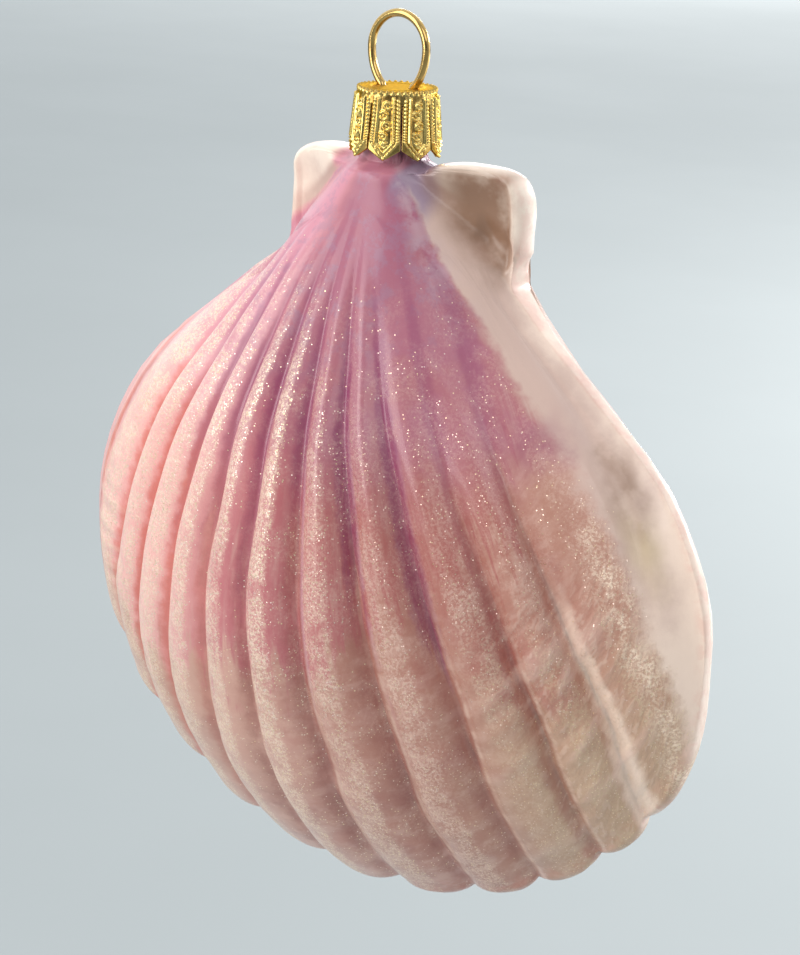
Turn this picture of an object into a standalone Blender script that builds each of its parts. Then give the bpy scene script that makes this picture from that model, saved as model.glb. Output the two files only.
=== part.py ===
"""Glass scallop shell ornament: a hollow blown-glass shell, a stamped crown cap and a wire hanging loop.

Width runs along X, thickness along Y with the painted front towards -Y, height along Z. The origin is the
inside of the top of the hanging loop, where a hook bears. Sizes below are in millimetres and radians;
every mesh is scaled to metres when its object is made. Inside the shell's own functions, heights are
measured from the hinge line, the straight top edge of the two ears.
"""
import math

import bmesh
import bpy
from mathutils import Matrix, Vector

MM = 0.001
GAP = 0.3                         # clearance between touching pieces

# Hanging loop: one round wire
WIRE = 1.1                        # wire diameter
LOOP_WIDTH = 9.2                  # between the wire's centre lines, at the widest
LOOP_RISE = 9.9                   # from the cap's top to the top of the wire's centre line
LOOP_UPPER = 4.7                  # height of the loop's upper half
LEG_SPACING = 5.1                 # between the legs' centre lines at the cap
LEG_SPREAD = 5.4                  # between the legs' sprung ends
LEG_LENGTH = 7.5                  # below the cap's top

# Crown cap: stamped sheet metal
PANELS = 8
CAP_TOP_RADIUS = 5.45
CAP_RADIUS = 6.15                 # at the foot of the panels
CAP_HEIGHT = 9.2                  # from the top to the panels' points
CAP_BEVEL = 0.7                   # rounded shoulder of the top
CAP_SHEET = 0.45
POINT_HEIGHT = 1.5                # of each panel's pointed end
SLIT = 0.35                       # open slit between two panels
UNCUT_TOP = 1.9                   # the slits stop this far below the top
POINT_SPACE = 0.01                # angle between the gaps on the two sides of a panel's point
CUT_BEYOND = 1.2                  # cutters and trimmed ends run this far past the metal or the glass

# Glass shell
CAP_ABOVE_HINGE = 9.75            # from the hinge line to the cap's top
WALL = 1.0
NECK_RADIUS = 4.55
NECK_TOP = 8.6
NECK_FADE = (-6.0, 0.0)           # heights over which the neck grows out of the shell
COLLAR_RADIUS = 6.0               # rounded shoulder of glass under the cap's points
COLLAR_FOOT = -1.5                # the shoulder narrows to the neck from here
COLLAR_TOP = 0.1                  # up to here
COLLAR_SOFT = 0.6                 # rounding between the shoulder and the valves
FAN_HALF_WIDTH = 54.7
FAN_CENTRE = -61.3                # height of the fan's widest place
FAN_HALF_HEIGHT = 44.7            # from there to the bottom
APEX = 4.1                        # height of the point that the ribs run towards
NOTCH_X = 22.4                    # where an ear's outer edge meets the fan's straight side
NOTCH_Z = -15.0
SEAM_Y = 0.9                      # the mould seam lies behind the neck's axis
SEAM_EDGE = 1.7                   # half thickness of the rounded edge at the seam
HEART_Z = -4.0                    # the surface is drawn out from this point between the ears
HEART_BLEND = 0.15                # share of the way to the edge where the middle rib leaves it
OUTER_BLEND = 0.62                # and where the outermost rib does

# One valve's depth: down the middle, then across
VALVE_DEPTH = 26.0
VALVE_DEEPEST = -53.0
BACK_SHARE = 0.82                 # the back valve is flatter than the front
UMBO_DEPTH = 5.0                  # at the hinge line
UMBO_POWER = 0.9                  # shape of the curve from the hinge line to the deepest place
FOOT_POWER = 2.2                  # and from there to the bottom edge
FOOT_ROUND = 0.84
CREST_SOFT = 2.0                  # rounding of the valve's middle line
UMBO_ACROSS = 2.2                 # shape across the valve at the umbo
VALVE_ACROSS = 1.36               # and where it is broad
ACROSS_FROM = -4.0                # one shape gives way to the other between these heights
ACROSS_TO = -50.0
ACROSS_ROUND = 0.82
VALVE_FADE = (-2.5, 0.2)          # heights over which the valve ends at the hinge line
SEAM_FADE = (-6.0, 0.2)           # heights over which the seam swings round to the neck's middle
RIM_BELOW = -2.0                  # below this height the edge is never thinner than the seam

# Ears
EAR_HALF = 3.1                    # half thickness of an ear beside the neck
EAR_TIP_HALF = 2.0                # and towards its tip
EAR_THINS = (7.0, 16.0)           # it thins from one to the other between these
EAR_SWEEP = 2.2                   # how far an ear's tip leans back
SWEEP_X = (6.0, 20.0)             # the lean grows from the neck to the tip
SWEEP_Z = (-24.0, -12.0)          # and from the valve's side up to the ear
EAR_RIM = 0.35                    # extra half thickness of the outer rim
EAR_HOLLOW = 0.3                  # dip of the flat inside the rim
EAR_HOLLOW_DROP = 6.0             # the dip is whole this far below the ear's top edge
EAR_RIM_X = (17.0, 19.6)          # the rim rises between these
EAR_ROUND = (0.3, 0.85)           # shares of the ear's edge where its rounding grows and fades
EAR_CREASE = 1.5                  # rounding of the crease between an ear and the valve
EAR_FADE = (-21.0, -13.0)         # heights over which an ear runs out into the valve
UNDER_CAP_X = (6.8, 9.0)          # the ear's top edge is cut away this close to the cap
UNDER_CAP_Z = (-1.0, 0.2)
EAR_EDGE = [
    (NOTCH_X, NOTCH_Z), (21.0, -12.5), (20.9, -9.0), (21.0, -5.5), (20.6, -1.9), (18.3, 0.4),
    (12.5, 0.9), (8.6, 0.5), (6.6, -0.1), (NECK_RADIUS, 0.8),
]

# Ribs, counted from the middle one
RIBS = 11
RIB_ANGLE = math.radians(6.85)    # from one rib to the next, at the edge
RIB_CROWDING = 0.0042             # how much closer the outer ribs stand
RIB_BOW = 0.37                    # how much wider apart the ribs stand near the hinge
RIB_HEIGHT = 2.9                  # from valley to crest, at the edge
RIB_START = 8.0                   # distance from the apex where the ribs begin to rise
RIB_FULL = 70.0                   # and where they have their whole height
RIB_ROUND = 0.75                  # under 1: broad crests and narrow valleys
RIB_BELOW = 0.6                   # share of the height that lies below the smooth valve
LAST_WIDTH = 1.6                  # the outermost rib is this much wider than the others
RUN_OUT = 0.95                    # share of its width over which its outer side runs out into the flank
RIB_AT_SEAM = 0.55                # share of the height left at the seam
RIB_SINKS = 0.84                  # share of the way to the edge where the height starts to drop to that

# Resolution
COLUMNS = 88
ROWS = 22
FAN_SHARE = 0.50                  # share of the columns on the ribbed edge
SIDE_SHARE = 0.66                 # share up to the notch
EAR_SHARE = 0.90                  # share up to the neck
SHARP_EDGE = 0.01                 # edge rounding where the neck is cut open

CAP_TOP = WIRE / 2 - LOOP_RISE
HINGE = CAP_TOP - CAP_ABOVE_HINGE
BOTTOM = FAN_CENTRE - FAN_HALF_HEIGHT
LAST_VALLEY = RIBS / 2
NOTCH_ANGLE = math.atan2(NOTCH_X, APEX - NOTCH_Z)
NOTCH_COUNT = NOTCH_ANGLE / RIB_ANGLE   # the columns beside the ribs keep counting up to the notch


def clear_scene():
    for thing in list(bpy.data.objects):
        bpy.data.objects.remove(thing, do_unlink=True)


def finish(name):
    """A plain Principled finish."""
    colour, roughness, metallic = {
        "painted_glass": ((0.62, 0.36, 0.36), 0.22, 0.0),
        "gold_cap": ((0.90, 0.66, 0.22), 0.25, 1.0),
        "gold_wire": ((0.83, 0.62, 0.27), 0.20, 1.0),
    }[name]
    made = bpy.data.materials.new(name)
    made.use_nodes = True
    shader = made.node_tree.nodes["Principled BSDF"]
    shader.inputs["Base Color"].default_value = (*colour, 1.0)
    shader.inputs["Roughness"].default_value = roughness
    shader.inputs["Metallic"].default_value = metallic
    return made


def add_piece(name, bm, material_name, height):
    """Turn a bmesh in millimetres into an object at a height, in metres."""
    bmesh.ops.scale(bm, vec=(MM, MM, MM), verts=bm.verts)
    mesh = bpy.data.meshes.new(name)
    bm.to_mesh(mesh)
    bm.free()
    mesh.shade_smooth()
    mesh.set_sharp_from_angle(angle=math.radians(35))
    mesh.materials.append(finish(material_name))
    piece = bpy.data.objects.new(name, mesh)
    piece.location.z = height * MM
    bpy.context.collection.objects.link(piece)
    return piece


def smooth_step(low, high, value):
    t = min(max((value - low) / (high - low), 0.0), 1.0)
    return t * t * (3 - 2 * t)


def smooth_max(a, b, softness):
    return 0.5 * (a + b + math.hypot(a - b, softness))


# The shell's outline, right half


def side_tangent():
    """Point where the straight side meets the round edge, on a line from the notch."""
    x = NOTCH_X / FAN_HALF_WIDTH
    z = (NOTCH_Z - FAN_CENTRE) / FAN_HALF_HEIGHT
    angle = math.atan2(z, x) - math.acos(1 / math.hypot(x, z))
    return FAN_HALF_WIDTH * math.cos(angle), FAN_CENTRE + FAN_HALF_HEIGHT * math.sin(angle)


TANGENT_X, TANGENT_Z = side_tangent()
SIDE_SLOPE = (TANGENT_X - NOTCH_X) / (TANGENT_Z - NOTCH_Z)


def fan_half_width(z):
    if z > TANGENT_Z:
        return NOTCH_X + (z - NOTCH_Z) * SIDE_SLOPE
    return FAN_HALF_WIDTH * math.sqrt(max(1 - ((z - FAN_CENTRE) / FAN_HALF_HEIGHT) ** 2, 0))


def fan_reach(angle):
    """Distance from the apex to the fan's edge, at an angle from straight down."""
    sine, cosine = math.sin(angle), math.cos(angle)
    rise = APEX - FAN_CENTRE
    a = (sine / FAN_HALF_WIDTH) ** 2 + (cosine / FAN_HALF_HEIGHT) ** 2
    b = -2 * cosine * rise / FAN_HALF_HEIGHT ** 2
    c = (rise / FAN_HALF_HEIGHT) ** 2 - 1
    under_root = b * b - 4 * a * c
    if under_root > 0:
        reach = (-b + math.sqrt(under_root)) / (2 * a)
        if APEX - reach * cosine < TANGENT_Z:
            return reach
    return (NOTCH_X + (APEX - NOTCH_Z) * SIDE_SLOPE) / (sine + cosine * SIDE_SLOPE)


def edge_angle_of(count):
    """Angle at the apex, from straight down, of the edge point at a count of ribs from the middle."""
    crowded = count * (1 - RIB_CROWDING * count ** 2) * RIB_ANGLE
    outside = smooth_step(LAST_VALLEY, NOTCH_COUNT, count)
    return crowded + (NOTCH_ANGLE - crowded) * outside


def rib_line(count, share):
    """Point on the line that keeps a count of ribs from the middle, a share of the way to the fan's edge."""
    edge_angle = edge_angle_of(count)
    reach = fan_reach(edge_angle)
    start = APEX - HEART_Z
    distance = start + (reach - start) * share
    bow = RIB_BOW * (1 - smooth_step(LAST_VALLEY, NOTCH_COUNT, count))
    angle = edge_angle * (1 + bow * (1 - (distance / reach) ** 2))
    return distance * math.sin(angle), APEX - distance * math.cos(angle)


def through(points, share):
    """A smooth curve through points."""
    last = len(points) - 1
    reached = min(max(share, 0.0), 1.0) * last
    i = min(int(reached), last - 1)
    u = reached - i
    four = points[max(i - 1, 0)], points[i], points[i + 1], points[min(i + 2, last)]
    return [
        0.5 * (2 * b + (c - a) * u + (2 * a - 5 * b + 4 * c - d) * u ** 2 + (3 * b - a - 3 * c + d) * u ** 3)
        for a, b, c, d in zip(*four)
    ]


def rib_count(turn):
    """Ribs from the middle one; turn runs from 0 at the bottom to 1 at the top."""
    if turn <= FAN_SHARE:
        return turn / FAN_SHARE * LAST_VALLEY
    return LAST_VALLEY + (turn - FAN_SHARE) / (SIDE_SHARE - FAN_SHARE) * (NOTCH_COUNT - LAST_VALLEY)


def ear_and_neck_edge(turn):
    """Edge point and edge rounding above the notch."""
    if turn <= EAR_SHARE:
        along = (turn - SIDE_SHARE) / (EAR_SHARE - SIDE_SHARE)
        full = smooth_step(0, EAR_ROUND[0], along) * (1 - smooth_step(EAR_ROUND[1], 1, along))
        return through(EAR_EDGE, along), SEAM_EDGE + (EAR_TIP_HALF - SEAM_EDGE) * full
    along = (turn - EAR_SHARE) / (1 - EAR_SHARE)
    top = NECK_TOP + CUT_BEYOND
    foot = EAR_EDGE[-1][1]
    if along < 0.5:
        return (NECK_RADIUS, foot + (top - foot) * along * 2), SHARP_EDGE
    return (NECK_RADIUS * (2 - along * 2), top), SHARP_EDGE


def place(turn, share):
    """X, Z and how far into the rounded edge, from 0 at the edge to 1, at a share of the way to the edge."""
    if turn > SIDE_SHARE:
        edge, rounding = ear_and_neck_edge(turn)
        straight = 1.0
    else:
        edge, rounding = rib_line(rib_count(turn), 1.0), SEAM_EDGE
        straight = smooth_step(FAN_SHARE, SIDE_SHARE, turn)
    x = edge[0] * share
    z = HEART_Z + (edge[1] - HEART_Z) * share
    inset = (1 - share) * math.hypot(edge[0], edge[1] - HEART_Z)
    if straight < 1:
        count = rib_count(turn)
        line_x, line_z = rib_line(count, share)
        leaves = HEART_BLEND + (OUTER_BLEND - HEART_BLEND) * min(count / LAST_VALLEY, 1) ** 2
        along_rib = (1 - straight) * smooth_step(0, leaves, share)
        x += (line_x - x) * along_rib
        z += (line_z - z) * along_rib
    return x, z, min(inset / rounding, 1)


# The shell's thickness


def fan_depth(x, z):
    """Depth of the ribbed valve before its ribs."""
    if z > VALVE_DEEPEST:
        down = min(max(z / VALVE_DEEPEST, 0), 1)
        middle = UMBO_DEPTH + (VALVE_DEPTH - UMBO_DEPTH) * math.sin(down * math.pi / 2) ** UMBO_POWER
    else:
        down = min((VALVE_DEEPEST - z) / (VALVE_DEEPEST - BOTTOM), 1)
        middle = VALVE_DEPTH * (1 - down ** FOOT_POWER) ** FOOT_ROUND
    half_width = max(fan_half_width(z) - CREST_SOFT, GAP)
    across = min((math.hypot(x, CREST_SOFT) - CREST_SOFT) / half_width, 1)
    power = UMBO_ACROSS + (VALVE_ACROSS - UMBO_ACROSS) * smooth_step(-ACROSS_FROM, -ACROSS_TO, -z)
    return middle * (1 - across ** power) ** ACROSS_ROUND * (1 - smooth_step(*VALVE_FADE, z))


def ear_depth(x, z):
    """Depth of an ear: a slightly hollow plate with a thicker outer rim."""
    outside = smooth_step(*EAR_RIM_X, x)
    hollow = EAR_HOLLOW * smooth_step(0, EAR_HOLLOW_DROP, -z) * (1 - outside)
    under_cap = smooth_step(*UNDER_CAP_Z, z) * (1 - smooth_step(*UNDER_CAP_X, x))
    half = EAR_HALF + (EAR_TIP_HALF - EAR_HALF) * smooth_step(*EAR_THINS, x)
    return (half + EAR_RIM * outside - hollow) * smooth_step(*EAR_FADE, z) * (1 - under_cap)


def neck_depth(x, z):
    """Depth of the round neck and its shoulder."""
    radius = COLLAR_RADIUS + (NECK_RADIUS - COLLAR_RADIUS) * smooth_step(COLLAR_FOOT, COLLAR_TOP, z)
    return math.sqrt(max(radius ** 2 - x * x, 0)) * smooth_step(*NECK_FADE, z)


def surface(turn, share, side):
    """Point of the smooth surface at a share of the way to the edge, on the side -1 or 1 in Y."""
    x, z, inset = place(abs(turn), share)
    valve = fan_depth(x, z) * (BACK_SHARE if side > 0 else 1)
    depth = smooth_max(valve, ear_depth(x, z), EAR_CREASE)
    if z < RIM_BELOW:
        depth = max(depth, SEAM_EDGE)
    if z < 0:
        depth = smooth_max(depth, neck_depth(x, z), COLLAR_SOFT)
    else:
        depth = max(depth, neck_depth(x, z))
    depth *= math.sqrt(1 - (1 - inset) ** 2)
    below_neck = 1 - smooth_step(*SEAM_FADE, z)
    sweep = EAR_SWEEP * smooth_step(*SWEEP_X, x) * smooth_step(*SWEEP_Z, z)
    return Vector((math.copysign(x, turn), side * depth + SEAM_Y * below_neck + sweep, z))


def rib_height(turn, share, point):
    """Height of the ribs over the smooth valve; valleys are below it."""
    turn = abs(turn)
    if turn > SIDE_SHARE:
        return 0.0
    count = rib_count(turn)
    last_valley = LAST_VALLEY - 1
    if count > last_valley:
        count = last_valley + (count - last_valley) / LAST_WIDTH
    crest = abs(math.cos(math.pi * count)) ** RIB_ROUND - RIB_BELOW
    last_crest = LAST_VALLEY - 0.5
    if count > last_crest:
        crest = (1 - RIB_BELOW) * (1 - smooth_step(last_crest, last_crest + RUN_OUT, count))
    distance = math.hypot(point.x, APEX - point.z)
    at_seam = 1 - (1 - RIB_AT_SEAM) * smooth_step(RIB_SINKS, 1, share)
    return RIB_HEIGHT * smooth_step(RIB_START, RIB_FULL, distance) * crest * at_seam


def glass_shell():
    """A sphere drawn out to the shell's surface, cut open at the neck and given its wall."""
    bm = bmesh.new()
    bmesh.ops.create_uvsphere(bm, u_segments=COLUMNS, v_segments=ROWS, radius=1.0)
    heights = []
    for vert in bm.verts:
        turn = math.atan2(vert.co.x, -vert.co.y) / math.pi
        on_seam = abs(vert.co.z) < 0.001
        share = 1.0 if on_seam else math.hypot(vert.co.x, vert.co.y)
        vert.co = surface(turn, share, -1 if vert.co.z > 0 else 1)
        heights.append(rib_height(turn, share, vert.co))
    bm.normal_update()
    lifted = [vert.co + vert.normal * height for vert, height in zip(bm.verts, heights)]
    for vert, point in zip(bm.verts, lifted):
        vert.co = point
    whole = bm.verts[:] + bm.edges[:] + bm.faces[:]
    bmesh.ops.bisect_plane(bm, geom=whole, plane_co=(0, 0, NECK_TOP), plane_no=(0, 0, 1), clear_outer=True)
    piece = add_piece("glass_shell", bm, "painted_glass", HINGE)
    wall = piece.modifiers.new("wall", "SOLIDIFY")
    wall.thickness = WALL * MM
    wall.offset = -1
    return piece


def turned(profile, steps):
    """A closed solid turned from a profile of (radius, height) whose ends lie on the axis."""
    bm = bmesh.new()
    verts = [bm.verts.new((radius, 0, height)) for radius, height in profile]
    edges = [bm.edges.new(pair) for pair in zip(verts, verts[1:])]
    bmesh.ops.spin(bm, geom=verts + edges, cent=(0, 0, 0), axis=(0, 0, 1), angle=math.tau, steps=steps,
                   use_merge=True)
    bmesh.ops.remove_doubles(bm, verts=bm.verts, dist=0.001)
    bmesh.ops.recalc_face_normals(bm, faces=bm.faces)
    return bm


def cap_cutter():
    """Eight slits that open into V gaps between the panels' points."""
    bm = bmesh.new()
    foot = -CAP_HEIGHT
    half_panel = math.pi / PANELS - POINT_SPACE
    half_slit = SLIT / 2 / CAP_RADIUS
    half_gap = [
        (half_panel, foot - CUT_BEYOND), (half_panel, foot), (half_slit, foot + POINT_HEIGHT),
        (half_slit, -UNCUT_TOP),
    ]
    gap = half_gap + [(-a, z) for a, z in reversed(half_gap)]
    outer, inner = CAP_RADIUS + CUT_BEYOND, CAP_TOP_RADIUS - CUT_BEYOND
    for i in range(PANELS):
        middle = i * math.tau / PANELS
        ring = [bm.verts.new((outer * math.cos(middle + a), outer * math.sin(middle + a), z)) for a, z in gap]
        face = bm.faces.new(ring)
        deeper = bmesh.ops.extrude_face_region(bm, geom=[face])["geom"]
        moved = [item for item in deeper if isinstance(item, bmesh.types.BMVert)]
        bmesh.ops.scale(bm, vec=(inner / outer, inner / outer, 1), verts=moved)
    bmesh.ops.recalc_face_normals(bm, faces=bm.faces)
    return bm


def hole_cutter():
    """Two round holes for the wire's legs."""
    bm = bmesh.new()
    for side in (-1, 1):
        bmesh.ops.create_cone(bm, cap_ends=True, segments=16, radius1=WIRE / 2 + GAP, radius2=WIRE / 2 + GAP,
                              depth=2 * CUT_BEYOND, matrix=Matrix.Translation((side * LEG_SPACING / 2, 0, 0)))
    return bm


def cut(piece, cutter_name, cutter_mesh):
    cutter = add_piece(cutter_name, cutter_mesh, "gold_cap", CAP_TOP)
    cutter.hide_render = True
    cutter.display_type = "WIRE"
    boolean = piece.modifiers.new(cutter_name, "BOOLEAN")
    boolean.operation = "DIFFERENCE"
    boolean.solver = "EXACT"
    boolean.object = cutter


def crown_cap():
    """A turned cup of sheet metal, open below, with its slits and holes cut."""
    inner_top = -CAP_SHEET
    bevel = [
        (CAP_TOP_RADIUS - CAP_BEVEL * (1 - math.sin(a)), -CAP_BEVEL * (1 - math.cos(a)))
        for a in (0, math.pi / 6, math.pi / 3, math.pi / 2)
    ]
    profile = [(0, 0)] + bevel + [
        (CAP_RADIUS, -CAP_HEIGHT), (CAP_RADIUS - CAP_SHEET, -CAP_HEIGHT),
        (CAP_TOP_RADIUS - CAP_SHEET, -CAP_BEVEL), (CAP_TOP_RADIUS - CAP_BEVEL, inner_top), (0, inner_top),
    ]
    piece = add_piece("crown_cap", turned(profile, 48), "gold_cap", CAP_TOP)
    cut(piece, "slit_cutter", cap_cutter())
    cut(piece, "hole_cutter", hole_cutter())
    return piece


def wire_route():
    """Right half of the wire's centre line, from the loop's top down to the end of the leg."""
    half = LOOP_WIDTH / 2
    middle = LOOP_RISE - LOOP_UPPER
    lower = middle / math.sqrt(1 - (LEG_SPACING / LOOP_WIDTH) ** 2)
    upper_arc = [(half * math.sin(a), middle + LOOP_UPPER * math.cos(a))
                 for a in (math.pi / 2 * i / 12 for i in range(13))]
    last_angle = math.acos(LEG_SPACING / LOOP_WIDTH)
    lower_arc = [(half * math.cos(a), middle - lower * math.sin(a))
                 for a in (last_angle * i / 8 for i in range(1, 9))]
    leg = [(LEG_SPACING / 2 + (LEG_SPREAD - LEG_SPACING) / 2 * t, -LEG_LENGTH * t)
           for t in (0.15, 0.4, 0.7, 1.0)]
    return upper_arc + lower_arc + leg


def hanging_loop():
    """One wire along the route, its two cut ends inside the neck."""
    right = wire_route()
    left = [(-x, z) for x, z in right[:0:-1]]
    route = left + right
    curve = bpy.data.curves.new("hanging_loop", "CURVE")
    curve.dimensions = "3D"
    curve.bevel_depth = WIRE / 2 * MM
    curve.bevel_resolution = 2
    curve.use_fill_caps = True
    spline = curve.splines.new("POLY")
    spline.points.add(len(route) - 1)
    for point, (x, z) in zip(spline.points, route):
        point.co = (x * MM, 0, z * MM, 1)
    curve.materials.append(finish("gold_wire"))
    piece = bpy.data.objects.new("hanging_loop", curve)
    piece.location.z = CAP_TOP * MM
    bpy.context.collection.objects.link(piece)
    return piece


clear_scene()
glass_shell()
crown_cap()
hanging_loop()
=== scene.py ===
"""Blown-glass scallop shell ornament: painted glass shell, stamped crown cap and wire hanging loop.

Shapes are worked out in millimetres, with the painted front towards -Y and Z up, and every finished mesh is
scaled to metres. Inside the shell's own functions, heights are measured from the hinge line, the straight top
edge of the two ears.
"""

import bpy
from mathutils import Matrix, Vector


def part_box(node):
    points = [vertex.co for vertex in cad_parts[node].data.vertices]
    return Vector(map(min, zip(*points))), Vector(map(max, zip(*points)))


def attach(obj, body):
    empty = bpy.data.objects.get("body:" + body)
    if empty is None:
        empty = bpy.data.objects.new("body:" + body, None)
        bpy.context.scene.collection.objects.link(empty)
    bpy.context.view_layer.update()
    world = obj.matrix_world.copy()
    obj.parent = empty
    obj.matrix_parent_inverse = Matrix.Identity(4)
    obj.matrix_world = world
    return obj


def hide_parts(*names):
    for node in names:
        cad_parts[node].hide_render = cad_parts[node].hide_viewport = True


bl_info = {
    "name": "Scallop shell ornament",
    "version": (1, 0, 0),
    "blender": (4, 5, 0),
    "location": "View3D > Sidebar > Ornament",
    "description": "Glass scallop shell with painted ribs, a crown cap and a hanging loop",
    "category": "Object",
}

import math

import bmesh
import bpy
import numpy as np
from bpy.props import FloatProperty, FloatVectorProperty, IntProperty, PointerProperty
from mathutils import Matrix, Vector, noise

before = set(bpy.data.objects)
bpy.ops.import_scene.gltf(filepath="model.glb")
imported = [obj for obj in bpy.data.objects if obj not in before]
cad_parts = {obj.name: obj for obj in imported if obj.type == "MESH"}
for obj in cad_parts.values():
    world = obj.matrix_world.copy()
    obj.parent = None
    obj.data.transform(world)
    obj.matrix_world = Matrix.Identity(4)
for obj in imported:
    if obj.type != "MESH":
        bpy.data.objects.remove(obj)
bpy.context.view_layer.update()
MM = 0.001

# Glass shell, as its maker's drawing gives it
WALL = 1.0
RIM_ROUND = (0.3, 0.15)           # how far in and up the neck's rim is rounded
NECK_RADIUS = 4.55
NECK_TOP = 8.6
NECK_FADE = (-6.0, 0.0)           # heights over which the neck grows out of the shell
BORE_DEPTH = 6.0                  # the open neck is followed down this far
COLLAR_RADIUS = 6.0               # rounded shoulder of glass under the cap's points
COLLAR_FADE = (-1.5, 0.1)         # heights over which the shoulder narrows to the neck
COLLAR_SOFT = 1.6
FAN_HALF_WIDTH = 54.7
FAN_CENTRE = -61.3                # height of the fan's widest place
FAN_HALF_HEIGHT = 44.7            # from there to the bottom
APEX = 4.1                        # height of the point that the ribs run towards
NOTCH_X = 22.4                    # where an ear's outer edge meets the fan's straight side
NOTCH_Z = -15.0
SEAM_Y = 0.9                      # the mould seam lies behind the neck's axis
SEAM_EDGE = 0.6                   # half thickness of the edge at the seam
SEAM_FADE = (-6.0, 0.2)           # heights over which the seam swings round to the neck's middle
RIM_BELOW = -2.0                  # below this height the edge is never thinner than the seam
HEART_Z = -4.0                    # the surface is drawn out from this point between the ears
HEART_BLEND = 0.15                # share of the way to the edge where the middle rib leaves it
OUTER_BLEND = 0.62                # and where the outermost rib does

# One valve's depth: down the middle, then across
VALVE_DEPTH = 26.0
VALVE_DEEPEST = -53.0
BACK_SHARE = 0.82                 # the back valve is flatter than the front
UMBO_DEPTH = 5.6
UMBO_POWER = 0.9
FOOT_POWER = 2.2
FOOT_ROUND = 0.84
CREST_SOFT = 2.0
UMBO_ACROSS = 2.2
VALVE_ACROSS = 1.36
ACROSS_FADE = (4.0, 50.0)         # depths below the hinge line over which one shape gives way to the other
ACROSS_ROUND = 0.82
VALVE_FADE = (-1.2, 0.6)
NARROWEST = 0.3

# Ears
EAR_HALF = 3.1                    # half thickness beside the neck
EAR_TIP_HALF = 1.9                # and at the outer edge
EAR_THINS = (7.0, 16.0)
EAR_EDGE_HALF = 1.6               # rounding of an ear's edge
EAR_SWEEP = 2.2                   # how far an ear's tip leans back
SWEEP_X = (6.0, 20.0)
SWEEP_Z = (-24.0, -12.0)
EAR_RIM = 0.35                    # extra half thickness of the outer rim
EAR_HOLLOW = 0.50                 # dip of the flat inside the right ear's rim
LEFT_HOLLOW = 0.3                 # and inside the left one's
EAR_HOLLOW_DROP = 4.0
EAR_RIM_X = (18.4, 19.6)
EAR_ROUND = (0.3, 0.85)
UNDER_EAR = 2.3                   # how far the edge is drawn in under an ear
UNDER_EAR_X = (12.0, 24.0)
UNDER_EAR_FOOT = (-38.0, -17.0)   # heights over which the drawing in grows, going up
UNDER_EAR_TOP = (-16.0, -11.0)    # and over which it ends at the ear
LEFT_EAR_SHORTER = 2.0
LEFT_EAR_LOWER = 0.7
LEFT_TIP_X = (9.0, 20.0)
LEFT_TIP_Z = (-20.0, -12.0)
LEFT_TOP_Z = (-6.0, 0.0)
EAR_CREASE = 1.0
EAR_FADE = (-21.0, -13.0)
UNDER_CAP_X = (6.8, 9.0)
UNDER_CAP_Z = (-1.0, 0.2)
EAR_EDGE = [
    (NOTCH_X, NOTCH_Z), (21.0, -12.5), (20.9, -9.0), (21.0, -5.5), (20.6, -1.9), (18.3, 0.4),
    (12.5, 0.9), (8.6, 0.5), (6.6, -0.1), (NECK_RADIUS, 0.8),
]

# Ribs, counted from the middle one
RIBS = 11
RIB_ANGLE = math.radians(6.85)
RIB_CROWDING = 0.0042             # how much closer the outer ribs stand
RIB_BOW = 0.37                    # how much wider apart the ribs stand near the hinge
RIB_START = (8.0, 27.0)           # distance from the apex where the middle and right ribs begin to rise
RIB_FULL = (54.0, 80.0)           # and where they have their whole height
RIB_LATE = (1.6, 3.6)             # the right ribs are counted from here
RIB_BELOW = 0.6                   # share of the height that lies below the smooth valve
RIB_ROUND_TOP = 1.45              # roundness across a rib near the hinge
RIB_ROUND_FOOT = 2.5              # and at the edge, where broad ribs leave narrow grooves
RIB_BROADENS = (0.2, 0.8)         # shares of the way to the edge over which it changes
LAST_WIDTH = 1.6                  # the outermost rib is this much wider than the others
RIB_RUN_OUT = 0.95                # share of its width over which its outer side runs out into the flank
RIB_WANDER = 0.07                 # share of a rib by which the grooves stray sideways
RIB_UNEVEN = 0.22                 # share by which one rib is higher than the next
MOST_COUNT = 9.0
RIB_SINKS = 0.84                  # share of the way to the edge where a rib begins to sink towards the seam
RIB_AT_SEAM = 0.55                # share of its height that is left there
CLOSING_IN = 12                   # steps towards the line through a place

# Folds, and the dips of the flanks; pairs that go to bump are a middle and a half width
FOLDS_END = (4.9, 5.4)            # ribs from the middle over which the fine folds end
FOLDS_START = (0.60, 0.82)        # shares of the way to the edge over which they begin
FOLDS = 0.7
RIGHT_FOLDS = 1.6                 # the right ribs have deeper ones, which begin sooner
RIGHT_FOLDS_RIB = (4.0, 1.8)
RIGHT_FOLDS_START = (0.5, 0.7)
DEEPEST_FOLD = 2.0
PETAL_STEP = 3.4                  # from one fold of the left flank to the next
PETAL_HEIGHT = 1.0                # against the other folds
PETAL_RIB = (-5.2, 1.2)
PETAL_SHARE = (0.80, 0.17)
DIMPLE = 0.6                      # depth of the hollow in the right flank
DIMPLE_RIB = (5.72, 0.5)
DIMPLE_SHARE = (0.76, 0.10)
TROUGH = 0.5                      # depth of the trough beside the last rib
TROUGH_RIB = (5.75, 0.5)
TROUGH_START = (0.60, 0.85)
UNEVEN_SIZE = 15.0                # the glass strays from a true surface over this distance
WANDER_SIZE = 13.0
BELOW_CAP = (-8.0, -4.0)          # the glass is true above these heights, under the cap

# Shell mesh
SHELL_COLUMNS = 316
SHELL_ROWS = 276
ROW_CROWDING = 1.5                # rows stand closer towards the seam
FAN_SHARE = 0.60                  # share of the columns on the ribbed edge
SIDE_SHARE = 0.70                 # share up to the notch
EAR_SHARE = 0.90                  # share up to the neck
SHARP_EDGE = 0.01

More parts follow.
